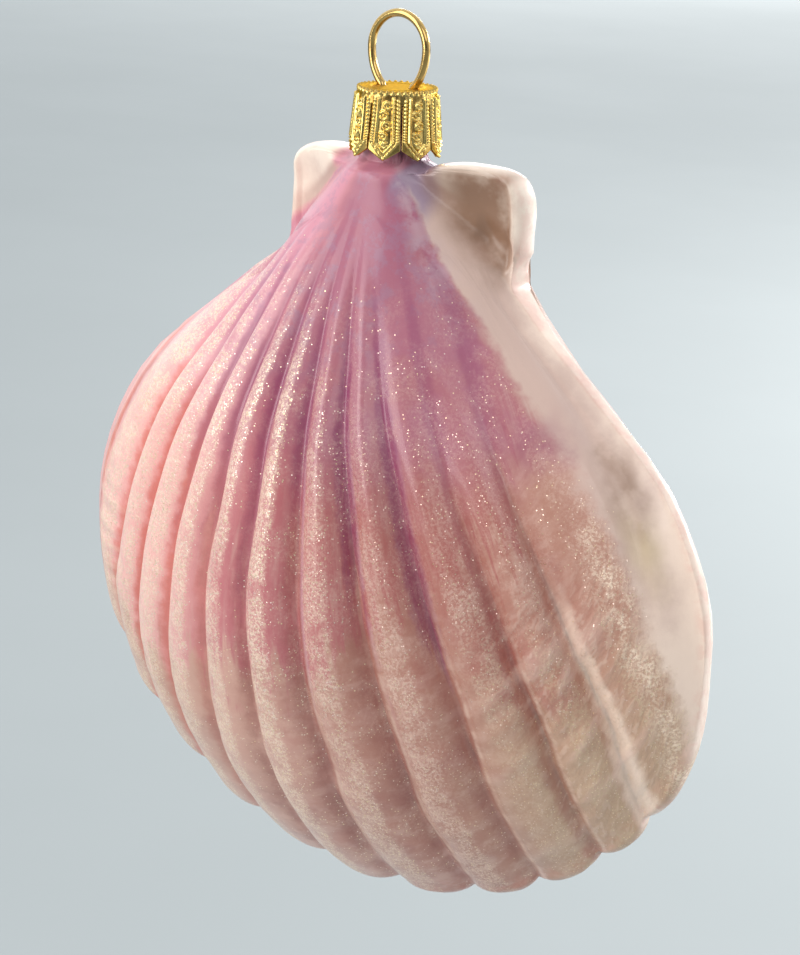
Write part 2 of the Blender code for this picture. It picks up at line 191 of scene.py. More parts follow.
SHELL_LOW, SHELL_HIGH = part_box("glass_shell")
CAP_LOW, CAP_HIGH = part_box("crown_cap")
LOOP_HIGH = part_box("hanging_loop")[1]
HINGE = SHELL_HIGH.z / MM - NECK_TOP
CAP_TOP = CAP_HIGH.z / MM
CAP_HEIGHT = (CAP_HIGH.z - CAP_LOW.z) / MM
BOTTOM = FAN_CENTRE - FAN_HALF_HEIGHT
LAST_VALLEY = RIBS / 2
NOTCH_ANGLE = math.atan2(NOTCH_X, APEX - NOTCH_Z)
NOTCH_COUNT = NOTCH_ANGLE / RIB_ANGLE


# Sizes and colours that can be changed


def tone(red, green, blue):
    """Linear colour from the 0 to 255 values on a paint chart."""
    return tuple(((value / 255 + 0.055) / 1.055) ** 2.4 for value in (red, green, blue))


def colour_property(name, description, default):
    return FloatVectorProperty(name=name, description=description, subtype="COLOR", size=3, min=0, max=1,
                               default=default)


def amount_property(name, description, default, least, most, unit="NONE"):
    return FloatProperty(name=name, description=description, default=default, min=least, max=most, unit=unit)


def light_property(name, description, default, most):
    return amount_property(name, description, default, 0, most, "POWER")


class ShellSettings(bpy.types.PropertyGroup):
    rib_height: amount_property("Rib height", "Height over the grooves, in millimetres", 2.9, 0.5, 6)
    unevenness: amount_property("Unevenness", "How far the glass strays, in millimetres", 0.28, 0, 1)
    wrinkle: amount_property("Wrinkles", "Height of the fine folds on the ribs, in millimetres", 0.2, 0, 1)
    glitter: FloatProperty(
        name="Glitter", description="Share of the ribs' crests covered with glitter",
        default=0.88, min=0, max=1, subtype="FACTOR")
    cream: colour_property("Cream", "Pearly ground coat near the edge", tone(250, 225, 207))
    ivory: colour_property("Ivory", "Ground coat of the ears", tone(252, 234, 217))
    # beige is partly painted shade: the ground coat is darker towards the umbo.
    beige: colour_property("Beige", "Ground coat towards the umbo", tone(206, 176, 163))
    shell_pink: colour_property("Shell pink", "Wash on the left ribs", tone(248, 183, 178))
    coral: colour_property("Coral", "Paint gathered in the left grooves", tone(222, 124, 110))
    lilac: colour_property("Lilac", "Pale pink left of the umbo", tone(218, 148, 164))
    rose: colour_property("Rose", "Pink of the middle ribs", tone(198, 116, 122))
    salmon: colour_property("Salmon", "Warm pink of the right ribs", tone(172, 99, 91))
    plum: colour_property("Plum", "Mauve of the umbo and the upper ribs", tone(170, 100, 118))
    violet: colour_property("Violet", "Dark paint in the grooves", tone(138, 50, 96))
    rosewood: colour_property("Rosewood", "Reddish shade in the lower grooves", tone(156, 84, 78))
    lavender: colour_property("Lavender", "Cool patch beside the umbo", tone(148, 124, 148))
    haze: colour_property("Haze", "Whitish wash where the plum ends", tone(196, 172, 178))
    # hollow is tan paint that also stands for painted shade: in the right ear's hollow, in the crease beside
    # the umbo and in the flank's dimple.
    hollow: colour_property("Hollow", "Dull tan inside the right ear", tone(148, 114, 92))
    tan: colour_property("Tan", "Pinkish tan of the lower ribs", tone(182, 126, 110))
    pale: colour_property("Pale pink", "Pearl worn thin over the tan", tone(226, 190, 176))
    dust: colour_property("Dust", "Fine glitter on the other crests", tone(252, 228, 204))
    gold_dust: colour_property("Gold dust", "Fine glitter on the outermost right crests", tone(208, 184, 150))
    # A painted highlight, laid beside the middle grooves.
    violet_highlight: colour_property("Gleam", "Light violet beside the middle grooves", (0.66, 0.40, 0.52))
    gold_flake: colour_property("Gold flake", "Single flakes of glitter", (0.98, 0.80, 0.46))
    pink_flake: colour_property("Pink flake", "The other flakes of glitter", (0.96, 0.80, 0.74))


class CapSettings(bpy.types.PropertyGroup):
    panels: IntProperty(name="Panels", description="Number of pointed panels", default=8, min=4, max=12)
    relief: amount_property("Relief", "Height of the stamped ornament, in millimetres", 0.34, 0, 0.6)
    gold: colour_property("Gold", "Bright lacquered gold", (0.94, 0.72, 0.24))
    # shade is painted shade laid in the stamping's low parts.
    shade: colour_property("Shade", "Brown tone left in the hollows", (0.16, 0.07, 0.015))
    top: colour_property("Top", "Dull ochre of the cap's flat top", (0.30, 0.19, 0.06))
    worn: colour_property("Worn", "Orange tone where the lacquer has worn", (0.80, 0.46, 0.08))


class LoopSettings(bpy.types.PropertyGroup):
    gold: colour_property("Gold", "Drawn brass wire", (0.64, 0.44, 0.16))
    tarnish: colour_property("Tarnish", "Brown clouds on the wire", (0.40, 0.22, 0.06))


class StageSettings(bpy.types.PropertyGroup):
    floor: colour_property("Floor", "Pale cool grey", (0.380, 0.412, 0.416))
    floor_drop: amount_property("Floor below", "From the hanging point to the floor", 0.62, 0.2, 3, "LENGTH")
    dark_side: amount_property("Room, dark side", "Brightness behind the camera", 0.50, 0, 5)
    bright_side: amount_property("Room, bright side", "Brightness facing the camera", 1.20, 0, 5)
    key: light_property("Key light", "Tall soft light on the left", 6.5, 100)
    side: light_property("Side light", "Soft light on the right", 1.7, 100)
    front: light_property("Front light", "Soft light over the camera", 1.3, 100)
    right_wash: light_property("Right wash", "Light over the floor's right", 165, 1000)
    far_wash: light_property("Far wash", "Light over the far floor", 395, 1000)


# Mesh helpers


def smooth_step(low, high, value):
    t = np.clip((value - low) / (high - low), 0.0, 1.0)
    return t * t * (3 - 2 * t)


def smooth_max(a, b, softness):
    return 0.5 * (a + b + np.hypot(a - b, softness))


def bump(middle, half_width, value):
    """A smooth hump, 1 at the middle and 0 beyond the half width."""
    return 1 - smooth_step(0, half_width, np.abs(value - middle))


def coordinates(bm):
    return np.array([vert.co for vert in bm.verts])


def move_to(bm, points):
    for vert, point in zip(bm.verts, points.tolist()):
        vert.co = point


def lift(bm, heights):
    """Move every vertex along its normal."""
    bm.normal_update()
    normals = np.array([vert.normal for vert in bm.verts])
    move_to(bm, coordinates(bm) + normals * heights[:, None])


def of_kind(items, kind):
    return [item for item in items if isinstance(item, kind)]


def add_values(bm, name, values):
    """Give every vertex a value that the materials can read."""
    layer = bm.verts.layers.float.new(name)
    for vert, value in zip(bm.verts, values.tolist()):
        vert[layer] = value


def add_piece(name, bm, material, node):
    """Turn a bmesh in millimetres into a finished piece that stands for a node of the frame."""
    bmesh.ops.scale(bm, vec=(MM, MM, MM), verts=bm.verts)
    mesh = bpy.data.meshes.new(name)
    bm.to_mesh(mesh)
    bm.free()
    mesh.shade_smooth()
    mesh.materials.append(material)
    piece = bpy.data.objects.new(name, mesh)
    bpy.context.collection.objects.link(piece)
    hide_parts(node)
    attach(piece, "root")
    return piece


# The shell's outline, right half


def side_tangent():
    """Point where the straight side meets the round edge, on a line from the notch."""
    x = NOTCH_X / FAN_HALF_WIDTH
    z = (NOTCH_Z - FAN_CENTRE) / FAN_HALF_HEIGHT
    angle = math.atan2(z, x) - math.acos(1 / math.hypot(x, z))
    return FAN_HALF_WIDTH * math.cos(angle), FAN_CENTRE + FAN_HALF_HEIGHT * math.sin(angle)


TANGENT_X, TANGENT_Z = side_tangent()
SIDE_SLOPE = (TANGENT_X - NOTCH_X) / (TANGENT_Z - NOTCH_Z)


def fan_half_width(z):
    round_part = FAN_HALF_WIDTH * np.sqrt(np.maximum(1 - ((z - FAN_CENTRE) / FAN_HALF_HEIGHT) ** 2, 0))
    return np.where(z > TANGENT_Z, NOTCH_X + (z - NOTCH_Z) * SIDE_SLOPE, round_part)


def fan_reach(angle):
    """Distance from the apex to the fan's edge, at an angle from straight down."""
    sine, cosine = np.sin(angle), np.cos(angle)
    rise = APEX - FAN_CENTRE
    a = (sine / FAN_HALF_WIDTH) ** 2 + (cosine / FAN_HALF_HEIGHT) ** 2
    b = -2 * cosine * rise / FAN_HALF_HEIGHT ** 2
    c = (rise / FAN_HALF_HEIGHT) ** 2 - 1
    under_root = b * b - 4 * a * c
    round_part = (-b + np.sqrt(np.maximum(under_root, 0))) / (2 * a)
    straight_part = (NOTCH_X + (APEX - NOTCH_Z) * SIDE_SLOPE) / (sine + cosine * SIDE_SLOPE)
    on_round = (under_root > 0) & (APEX - round_part * cosine < TANGENT_Z)
    return np.where(on_round, round_part, straight_part)


def rib_line(count, share):
    """Points on the lines that keep a count of ribs from the middle, a share of the way to the fan's edge."""
    crowded = count * (1 - RIB_CROWDING * count ** 2) * RIB_ANGLE
    outside = smooth_step(LAST_VALLEY, NOTCH_COUNT, count)
    edge_angle = crowded + (NOTCH_ANGLE - crowded) * outside
    reach = fan_reach(edge_angle)
    start = APEX - HEART_Z
    distance = start + (reach - start) * share
    angle = edge_angle * (1 + RIB_BOW * (1 - outside) * (1 - (distance / reach) ** 2))
    return distance * np.sin(angle), APEX - distance * np.cos(angle)


def through(points, share):
    """Points on a smooth curve through points."""
    points = np.array(points)
    last = len(points) - 1
    reached = np.clip(share, 0.0, 1.0) * last
    i = np.minimum(reached.astype(int), last - 1)
    u = (reached - i)[:, None]
    a, b, c, d = (points[np.clip(i + step, 0, last)] for step in (-1, 0, 1, 2))
    curve = 0.5 * (2 * b + (c - a) * u + (2 * a - 5 * b + 4 * c - d) * u ** 2
                   + (3 * b - a - 3 * c + d) * u ** 3)
    return curve[:, 0], curve[:, 1]


def rib_count(turn):
    """Ribs from the middle one; turn runs from 0 at the bottom to 1 at the top."""
    beside = (turn - FAN_SHARE) / (SIDE_SHARE - FAN_SHARE) * (NOTCH_COUNT - LAST_VALLEY)
    return np.where(turn <= FAN_SHARE, turn / FAN_SHARE * LAST_VALLEY, LAST_VALLEY + beside)


def outline(turn):
    """X, Z and rounding of the shell's edge."""
    fan_x, fan_z = rib_line(np.minimum(rib_count(turn), NOTCH_COUNT), 1.0)
    along_ear = (turn - SIDE_SHARE) / (EAR_SHARE - SIDE_SHARE)
    ear_x, ear_z = through(EAR_EDGE, along_ear)
    full = smooth_step(0, EAR_ROUND[0], along_ear) * (1 - smooth_step(EAR_ROUND[1], 1, along_ear))
    along_neck = (turn - EAR_SHARE) / (1 - EAR_SHARE)
    top, foot = NECK_TOP + 1, EAR_EDGE[-1][1]
    neck_x = NECK_RADIUS * np.minimum(2 - along_neck * 2, 1)
    neck_z = foot + (top - foot) * np.minimum(along_neck * 2, 1)
    where = [turn <= SIDE_SHARE, turn <= EAR_SHARE]
    x = np.select(where, [fan_x, ear_x], neck_x)
    z = np.select(where, [fan_z, ear_z], neck_z)
    rounding = np.select(where, [SEAM_EDGE, SEAM_EDGE + (EAR_EDGE_HALF - SEAM_EDGE) * full], SHARP_EDGE)
    return x, z, rounding


def place(turn, share):
    """X, Z and how far into the rounded edge, from 0 at the edge to 1, at a share of the way to the edge."""
    edge_x, edge_z, rounding = outline(turn)
    x = edge_x * share
    z = HEART_Z + (edge_z - HEART_Z) * share
    inset = (1 - share) * np.hypot(edge_x, edge_z - HEART_Z)
    count = np.minimum(rib_count(turn), NOTCH_COUNT)
    line_x, line_z = rib_line(count, share)
    leaves = HEART_BLEND + (OUTER_BLEND - HEART_BLEND) * np.minimum(count / LAST_VALLEY, 1) ** 2
    along_rib = (1 - smooth_step(FAN_SHARE, SIDE_SHARE, turn)) * smooth_step(0, leaves, share)
    return x + (line_x - x) * along_rib, z + (line_z - z) * along_rib, np.minimum(inset / rounding, 1)


# The shell's thickness


def fan_depth(x, z):
    """Depth of the ribbed valve before its ribs."""
    upper = np.clip(z / VALVE_DEEPEST, 0, 1)
    lower = np.clip((VALVE_DEEPEST - z) / (VALVE_DEEPEST - BOTTOM), 0, 1)
    above = UMBO_DEPTH + (VALVE_DEPTH - UMBO_DEPTH) * np.sin(upper * math.pi / 2) ** UMBO_POWER
    below = VALVE_DEPTH * (1 - lower ** FOOT_POWER) ** FOOT_ROUND
    middle = np.where(z > VALVE_DEEPEST, above, below)
    half_width = np.maximum(fan_half_width(z) - CREST_SOFT, NARROWEST)
    across = np.minimum((np.hypot(x, CREST_SOFT) - CREST_SOFT) / half_width, 1)
    power = UMBO_ACROSS + (VALVE_ACROSS - UMBO_ACROSS) * smooth_step(*ACROSS_FADE, -z)
    return middle * (1 - across ** power) ** ACROSS_ROUND * (1 - smooth_step(*VALVE_FADE, z))


def ear_depth(x, z, right):
    """Depth of an ear: a hollowed plate with a thicker outer rim."""
    outside = smooth_step(*EAR_RIM_X, x)
    hollow = np.where(right, EAR_HOLLOW, LEFT_HOLLOW) * smooth_step(0, EAR_HOLLOW_DROP, -z) * (1 - outside)
    under_cap = smooth_step(*UNDER_CAP_Z, z) * (1 - smooth_step(*UNDER_CAP_X, x))
    half = EAR_HALF + (EAR_TIP_HALF - EAR_HALF) * smooth_step(*EAR_THINS, x)
    return (half + EAR_RIM * outside - hollow) * smooth_step(*EAR_FADE, z) * (1 - under_cap)


def neck_depth(x, z):
    """Depth of the round neck and its shoulder."""
    radius = COLLAR_RADIUS + (NECK_RADIUS - COLLAR_RADIUS) * smooth_step(*COLLAR_FADE, z)
    return np.sqrt(np.maximum(radius ** 2 - x * x, 0)) * smooth_step(*NECK_FADE, z)


def surface(turn, share, side):
    """Points of the smooth surface at a share of the way to the edge, on the side -1 or 1 in Y."""
    x, z, inset = place(np.abs(turn), share)
    valve = fan_depth(x, z) * np.where(side > 0, BACK_SHARE, 1)
    depth = smooth_max(valve, ear_depth(x, z, turn > 0), EAR_CREASE)
    depth = np.where(z < RIM_BELOW, np.maximum(depth, SEAM_EDGE), depth)
    neck = neck_depth(x, z)
    depth = np.where(z < 0, smooth_max(depth, neck, COLLAR_SOFT), np.maximum(depth, neck))
    depth *= np.sqrt(1 - (1 - inset) ** 2)
    below_neck = 1 - smooth_step(*SEAM_FADE, z)
    sweep = EAR_SWEEP * smooth_step(*SWEEP_X, x) * smooth_step(*SWEEP_Z, z)
    return np.stack([np.copysign(x, turn), side * depth + SEAM_Y * below_neck + sweep, z], axis=1)


def draw_in(points):
    """Draw the glass in under each ear, and make the left ear a little narrower and lower than the right."""
    x, z = points[:, 0], points[:, 2]
    under_ear = (1 - smooth_step(*UNDER_EAR_TOP, z)) * smooth_step(*UNDER_EAR_FOOT, z)
    pulled = UNDER_EAR * under_ear * smooth_step(*UNDER_EAR_X, np.abs(x))
    left_tip = smooth_step(*LEFT_TIP_X, -x) * smooth_step(*LEFT_TIP_Z, z)
    points[:, 0] -= np.sign(x) * (pulled + LEFT_EAR_SHORTER * left_tip)
    points[:, 2] -= LEFT_EAR_LOWER * left_tip * smooth_step(*LEFT_TOP_Z, z)
    return points


def count_at(x, z):
    """Ribs from the middle one at any place on a valve, found by closing in on the line that runs there."""
    angle = np.abs(np.arctan2(x, APEX - z))
    distance = np.hypot(x, APEX - z)
    edge_angle = angle
    for _ in range(CLOSING_IN):
        nearness = np.clip(distance / fan_reach(np.minimum(edge_angle, NOTCH_ANGLE)), 0, 1)
        edge_angle = angle / (1 + RIB_BOW * (1 - nearness ** 2))
    even = edge_angle / RIB_ANGLE
    count = even
    for _ in range(CLOSING_IN):
        count = even / (1 - RIB_CROWDING * np.minimum(count, LAST_VALLEY) ** 2)
    last = LAST_VALLEY - 1
    count = np.where(count > last, last + (count - last) / LAST_WIDTH, count)
    return np.copysign(np.minimum(count, MOST_COUNT), x)


def rib_heights(count, share, points, height):
    """Height of the ribs over the smooth valve; grooves are below it, and the outermost rib runs out."""
    across = np.abs(count - np.round(count)) * 2
    roundness = RIB_ROUND_TOP + (RIB_ROUND_FOOT - RIB_ROUND_TOP) * smooth_step(*RIB_BROADENS, share)
    crest = 1 - across ** roundness - RIB_BELOW
    last_rib = LAST_VALLEY - 0.5
    running_out = (1 - RIB_BELOW) * (1 - smooth_step(last_rib, last_rib + RIB_RUN_OUT, np.abs(count)))
    crest = np.where(np.abs(count) > last_rib, running_out, crest)
    distance = np.hypot(points[:, 0], APEX - points[:, 2])
    late = smooth_step(*RIB_LATE, count)
    start, full = (pair[0] + (pair[1] - pair[0]) * late for pair in (RIB_START, RIB_FULL))
    at_seam = 1 - (1 - RIB_AT_SEAM) * smooth_step(RIB_SINKS, 1, share)
    return height * smooth_step(start, full, distance) * crest * at_seam


def noise_at(points, size, seed):
    """Smooth noise from about -1 to 1 at every point, with features of a size."""
    offset = Vector((seed * 13.7, seed * 7.1, seed * 3.3))
    return np.array([noise.noise(Vector(point) / size + offset) for point in points])


def wrinkles(count, share, points, side):
    """Fine folds across the ribs, strongest near the edge, and petal-like folds down the left flank."""
    folds = noise_at(np.stack([count * 1.2, share * 40 + count * 1.1, side * 9.0], axis=1), 1.0, 2)
    on_ribs = 1 - smooth_step(*FOLDS_END, np.abs(count))
    near_edge = smooth_step(*FOLDS_START, share) * on_ribs
    right = bump(*RIGHT_FOLDS_RIB, count) * smooth_step(*RIGHT_FOLDS_START, share) * on_ribs
    folds *= np.clip(FOLDS * near_edge + RIGHT_FOLDS * right, 0, DEEPEST_FOLD)
    wave = points[:, 2] / PETAL_STEP + count * 0.8 + 0.5 * noise_at(points, 9.0, 3)
    petals = np.sin(wave * math.tau) * bump(*PETAL_RIB, count) * bump(*PETAL_SHARE, share)
    return folds + PETAL_HEIGHT * petals


def glass_shell(settings):
    """A sphere drawn out to the shell's surface, ribbed, and opened at the neck."""
    bm = bmesh.new()
    bmesh.ops.create_uvsphere(bm, u_segments=SHELL_COLUMNS, v_segments=SHELL_ROWS, radius=1.0)
    ball = coordinates(bm)
    turn = np.arctan2(ball[:, 0], -ball[:, 1]) / math.pi
    latitude = np.arcsin(np.clip(np.abs(ball[:, 2]), 0, 1)) / (math.pi / 2)
    latitude[latitude < 0.001] = 0.0
    share = 1 - latitude ** ROW_CROWDING
    side = np.where(ball[:, 2] > 0, -1.0, 1.0)
    points = draw_in(surface(turn, share, side))
    count = count_at(points[:, 0], points[:, 2])
    count += RIB_WANDER * noise_at(points, WANDER_SIZE, 6)
    in_fan = 1 - smooth_step(SIDE_SHARE - 0.01, SIDE_SHARE, np.abs(turn))
    below_cap = 1 - smooth_step(*BELOW_CAP, points[:, 2])
    uneven = 1 + RIB_UNEVEN * noise_at(np.stack([count * 0.9, share * 3, side * 6], axis=1), 1.0, 4)
    heights = rib_heights(count, share, points, settings.rib_height) * in_fan * uneven
    folds = wrinkles(count, share, points, side) * in_fan
    heights += settings.wrinkle * folds
    heights += settings.unevenness * noise_at(points, UNEVEN_SIZE, 1) * below_cap
    heights -= DIMPLE * bump(*DIMPLE_RIB, count) * bump(*DIMPLE_SHARE, share) * (1 + noise_at(points, 6.0, 8))
    heights -= TROUGH * bump(*TROUGH_RIB, count) * smooth_step(*TROUGH_START, share)
    move_to(bm, points)
    lift(bm, heights)
    add_values(bm, "rib", count)
    add_values(bm, "reach", share)
    add_values(bm, "front", np.where(latitude > 0, (1 - side) / 2, 0.5))
    add_values(bm, "fold", folds)
    whole = bm.verts[:] + bm.edges[:] + bm.faces[:]
    cut = bmesh.ops.bisect_plane(bm, geom=whole, plane_co=(0, 0, NECK_TOP), plane_no=(0, 0, 1),
                                 clear_outer=True)["geom_cut"]
    close_neck(bm, of_kind(cut, bmesh.types.BMEdge))
    bmesh.ops.translate(bm, vec=(0, 0, HINGE), verts=bm.verts)
    return add_piece("painted_glass_shell", bm, painted_glass(settings), "glass_shell")


def close_neck(bm, rim):
    """Turn the neck's cut rim inwards, follow the bore down and close it."""
    inner = (NECK_RADIUS - WALL) / NECK_RADIUS
    for shrink, rise in ((1.0 - RIM_ROUND[0] / NECK_RADIUS, RIM_ROUND[1]), (inner, 0.0), (1.0, -BORE_DEPTH)):
        made = bmesh.ops.extrude_edge_only(bm, edges=rim)["geom"]
        verts = of_kind(made, bmesh.types.BMVert)
        edges = of_kind(made, bmesh.types.BMEdge)
        rim = [edge for edge in edges if all(vert in verts for vert in edge.verts)]
        bmesh.ops.scale(bm, vec=(shrink, shrink, 1), verts=verts)
        bmesh.ops.translate(bm, vec=(0, 0, rise), verts=verts)
    bmesh.ops.edgeloop_fill(bm, edges=rim)


# Crown cap

CAP_COLUMNS = 40                  # to a panel
CAP_PANEL_ROWS = 64
CAP_TOP_ROWS = 26
CAP_TOP_RADIUS = 5.45
CAP_FOOT_RADIUS = 6.15
CAP_BEVEL = 0.7
CAP_SHEET = 0.35
POINT_HEIGHT = 1.5
SLIT = 0.32
UNCUT = 1.7                       # the slits stop this far below the top
RIM_BEADS = 5                     # to a panel
EDGE_BEAD = 0.52                  # from one bead to the next down a panel's edge
LEG_SPACING = 5.1                 # between the wire's legs
LEG_HOLE = 0.72
LEG_HOLE_DEPTH = 0.3
PANEL_HALF = 2.3                  # half the width of a panel's foot
BEAD_LINE = (0.36, 0.30)          # a panel's lines: how far in from its edge, and half the width
RIDGE_LINE = (0.98, 0.26)
FIELD_STARTS = (1.05, 1.35)       # the scrolls lie this far in
SCROLL_LINE = 0.24
SCROLL_EYE = 0.20
RIM_BEAD_LINE = (CAP_TOP_RADIUS - 0.28, 0.42)
RIM_BEAD_HEIGHT = 0.38
TOP_RING = (3.6, 0.5)             # a low ring round the wire's holes
TOP_RING_HEIGHT = 0.10
POINTS_BEGIN = 0.45               # share of the cap's height where the panels' ends begin to slope
LEVEL = 0.01                      # the flat top lies within this of the cap's height
SCROLLS = [(0.22, 1.7, 0.42), (-0.22, 3.0, 0.50), (0.22, 4.4, 0.50), (-0.18, 5.8, 0.46), (0.05, 7.0, 0.34)]


def cap_profile():
    """Radius and height from the middle of the top out and down to the panels' ends."""
    flat = [(CAP_TOP_RADIUS - CAP_BEVEL) * i / CAP_TOP_ROWS for i in range(CAP_TOP_ROWS)]
    top = [(radius, 0.0) for radius in flat]
    shoulder = [
        (CAP_TOP_RADIUS - CAP_BEVEL * (1 - math.sin(a)), -CAP_BEVEL * (1 - math.cos(a)))
        for a in (math.pi / 2 * i / 8 for i in range(9))
    ]
    side = [
        (CAP_TOP_RADIUS + (CAP_FOOT_RADIUS - CAP_TOP_RADIUS) * t, -CAP_BEVEL - (CAP_HEIGHT - CAP_BEVEL) * t)
        for t in (i / CAP_PANEL_ROWS for i in range(1, CAP_PANEL_ROWS + 1))
    ]
    return top + shoulder + side


def stamped_relief(across, down, half_width, relief):
    """Height of the ornament on one panel; across and down are in millimetres from its middle and its top."""
    slope = math.cos(math.atan2(POINT_HEIGHT, PANEL_HALF))
    from_side = half_width - np.abs(across)
    from_end = (CAP_HEIGHT - down - POINT_HEIGHT * np.abs(across) / half_width) * slope
    inset = np.minimum(from_side, from_end)
    on_end = from_end < from_side
    along = np.where(on_end, np.abs(across), down)
    beads = 0.55 + 0.45 * np.cos(along / EDGE_BEAD * math.tau)
    bead_line = bump(*BEAD_LINE, inset) * beads
    ridge = bump(*RIDGE_LINE, inset) * np.where(on_end, 0.75, 1.0)
    field = smooth_step(*FIELD_STARTS, inset)
    scroll = 0.0
    for side, height, size in SCROLLS:
        away_across, away_down = across - side, down - height
        ring = np.hypot(away_across, away_down)
        opening = bump(0, 0.7, np.arctan2(away_down, away_across * np.sign(side)))
        scroll = np.maximum(scroll, bump(size, SCROLL_LINE, ring) * (1 - opening))
        scroll = np.maximum(scroll, bump(0, SCROLL_EYE, ring))
    return relief * (bead_line + 1.1 * ridge + field * 1.2 * scroll)


def crown_cap(settings):
    """A turned cup whose side is stamped, slit into pointed panels and given the sheet's thickness."""
    bm = bmesh.new()
    verts = [bm.verts.new((radius, 0, height)) for radius, height in cap_profile()]
    edges = [bm.edges.new(pair) for pair in zip(verts, verts[1:])]
    steps = settings.panels * CAP_COLUMNS
    bmesh.ops.spin(bm, geom=verts + edges, cent=(0, 0, 0), axis=(0, 0, 1), angle=math.tau, steps=steps,
                   use_merge=True)
    bmesh.ops.remove_doubles(bm, verts=bm.verts, dist=0.0001)
    panel = math.tau / settings.panels
    cut_slits(bm, panel)
    points = coordinates(bm)
    radius = np.hypot(points[:, 0], points[:, 1])
    angle = np.arctan2(points[:, 1], points[:, 0])
    drop = -points[:, 2]
    turn = angle / panel % 1 * 2 - 1
    half_width = panel / 2 * radius - SLIT / 2
    across = turn * panel / 2 * radius
    on_side = smooth_step(CAP_BEVEL, CAP_BEVEL + 0.3, drop)
    relief = stamped_relief(across, np.maximum(drop - 0.2, 0), half_width, settings.relief) * on_side
    shoulder = bump(*RIM_BEAD_LINE, radius) * bump(0.2, 0.5, drop)
    beads = 0.5 + 0.5 * np.cos(turn * math.pi * RIM_BEADS)
    relief += RIM_BEAD_HEIGHT * shoulder * beads
    on_top = drop < LEVEL
    relief += TOP_RING_HEIGHT * bump(*TOP_RING, radius) * on_top
    pointed = smooth_step(CAP_HEIGHT * POINTS_BEGIN, CAP_HEIGHT, drop) * POINT_HEIGHT * np.abs(turn)
    points[:, 2] += pointed
    bm.normal_update()
    outward = np.array([vert.normal for vert in bm.verts])
    if outward[np.argmax(radius)] @ points[np.argmax(radius)] < 0:
        bmesh.ops.reverse_faces(bm, faces=bm.faces)
        outward = -outward
    points += outward * relief[:, None]
    move_to(bm, points)
    shown = relief / max(settings.relief, 0.01) + 0.05 * on_top * (radius < CAP_TOP_RADIUS - CAP_BEVEL)
    add_values(bm, "relief", shown)
    punch_leg_holes(bm)
    bmesh.ops.translate(bm, vec=(0, 0, CAP_TOP), verts=bm.verts)
    piece = add_piece("stamped_crown_cap", bm, stamped_gold(settings), "crown_cap")
    sheet = piece.modifiers.new("sheet", "SOLIDIFY")
    sheet.thickness = CAP_SHEET * MM
    sheet.offset = -1
    return piece


def cut_slits(bm, panel):
    """Remove the faces between two panels below the uncut band."""
    doomed = []
    for face in bm.faces:
        middle = face.calc_center_median()
        radius = math.hypot(middle.x, middle.y)
        turn = math.atan2(middle.y, middle.x) / panel % 1 * 2 - 1
        if middle.z < -UNCUT and (1 - abs(turn)) * panel / 2 * radius < SLIT / 2:
            doomed.append(face)
    bmesh.ops.delete(bm, geom=doomed, context="FACES")


def punch_leg_holes(bm):
    """Two round holes in the top for the wire's legs."""
    for side in (-1, 1):
        centre = Vector((side * LEG_SPACING / 2, 0, 0))
        near = [vert for vert in bm.verts
                if vert.co.z > -LEG_HOLE_DEPTH and (vert.co.xy - centre.xy).length < LEG_HOLE]
        inside = {vert.index for vert in near}
        doomed = [face for face in bm.faces if all(vert.index in inside for vert in face.verts)]
        bmesh.ops.delete(bm, geom=doomed, context="FACES")
        for vert in [vert for vert in near if vert.is_valid]:
            away = vert.co - centre
            away.z = 0
            vert.co = centre + away.normalized() * LEG_HOLE + Vector((0, 0, vert.co.z))
        bm.verts.index_update()


# Hanging loop

WIRE = 1.14
LOOP_WIDTH = 9.2                  # between the wire's centre lines, at the widest
LOOP_UPPER = 4.7                  # height of the loop's upper half
LEG_SPREAD = 5.4
LEG_LENGTH = 7.5


def wire_route():
    """Right half of the wire's centre line, from the loop's top down to the end of the leg."""
    rise = LOOP_HIGH.z / MM - WIRE / 2 - CAP_TOP
    half = LOOP_WIDTH / 2
    middle = rise - LOOP_UPPER
    lower = middle / math.sqrt(1 - (LEG_SPACING / LOOP_WIDTH) ** 2)
    last_angle = math.acos(LEG_SPACING / LOOP_WIDTH)
    upper_arc = [(half * math.sin(a), middle + LOOP_UPPER * math.cos(a))
                 for a in (math.pi / 2 * i / 30 for i in range(31))]
    lower_arc = [(half * math.cos(a), middle - lower * math.sin(a))
                 for a in (last_angle * i / 20 for i in range(1, 20))]
    spread = (LEG_SPREAD - LEG_SPACING) / 2
    leg = [(LEG_SPACING / 2 + spread * t, -LEG_LENGTH * t) for t in (0.02, 0.08, 0.2, 0.5, 1.0)]
    return upper_arc + lower_arc + leg


def hanging_loop(settings):
    """One wire along the route, its two cut ends inside the neck."""
    right = wire_route()
    route = [(-x, z) for x, z in right[:0:-1]] + right
    curve = bpy.data.curves.new("hanging_loop_wire", "CURVE")
    curve.dimensions = "3D"
    curve.bevel_depth = WIRE / 2
    curve.bevel_resolution = 6
    curve.use_fill_caps = True
    spline = curve.splines.new("POLY")
    spline.points.add(len(route) - 1)
    for point, (x, z) in zip(spline.points, route):
        point.co = (x, 0, z, 1)
    drawn = bpy.data.objects.new("hanging_loop_wire", curve)
    bm = bmesh.new()
    bm.from_mesh(drawn.to_mesh())
    bpy.data.objects.remove(drawn)
    bpy.data.curves.remove(curve)
    bmesh.ops.remove_doubles(bm, verts=bm.verts, dist=0.0001)
    bmesh.ops.recalc_face_normals(bm, faces=bm.faces)
    bmesh.ops.translate(bm, vec=(0, 0, CAP_TOP), verts=bm.verts)
    return add_piece("brass_hanging_loop", bm, drawn_brass(settings), "hanging_loop")


# Materials


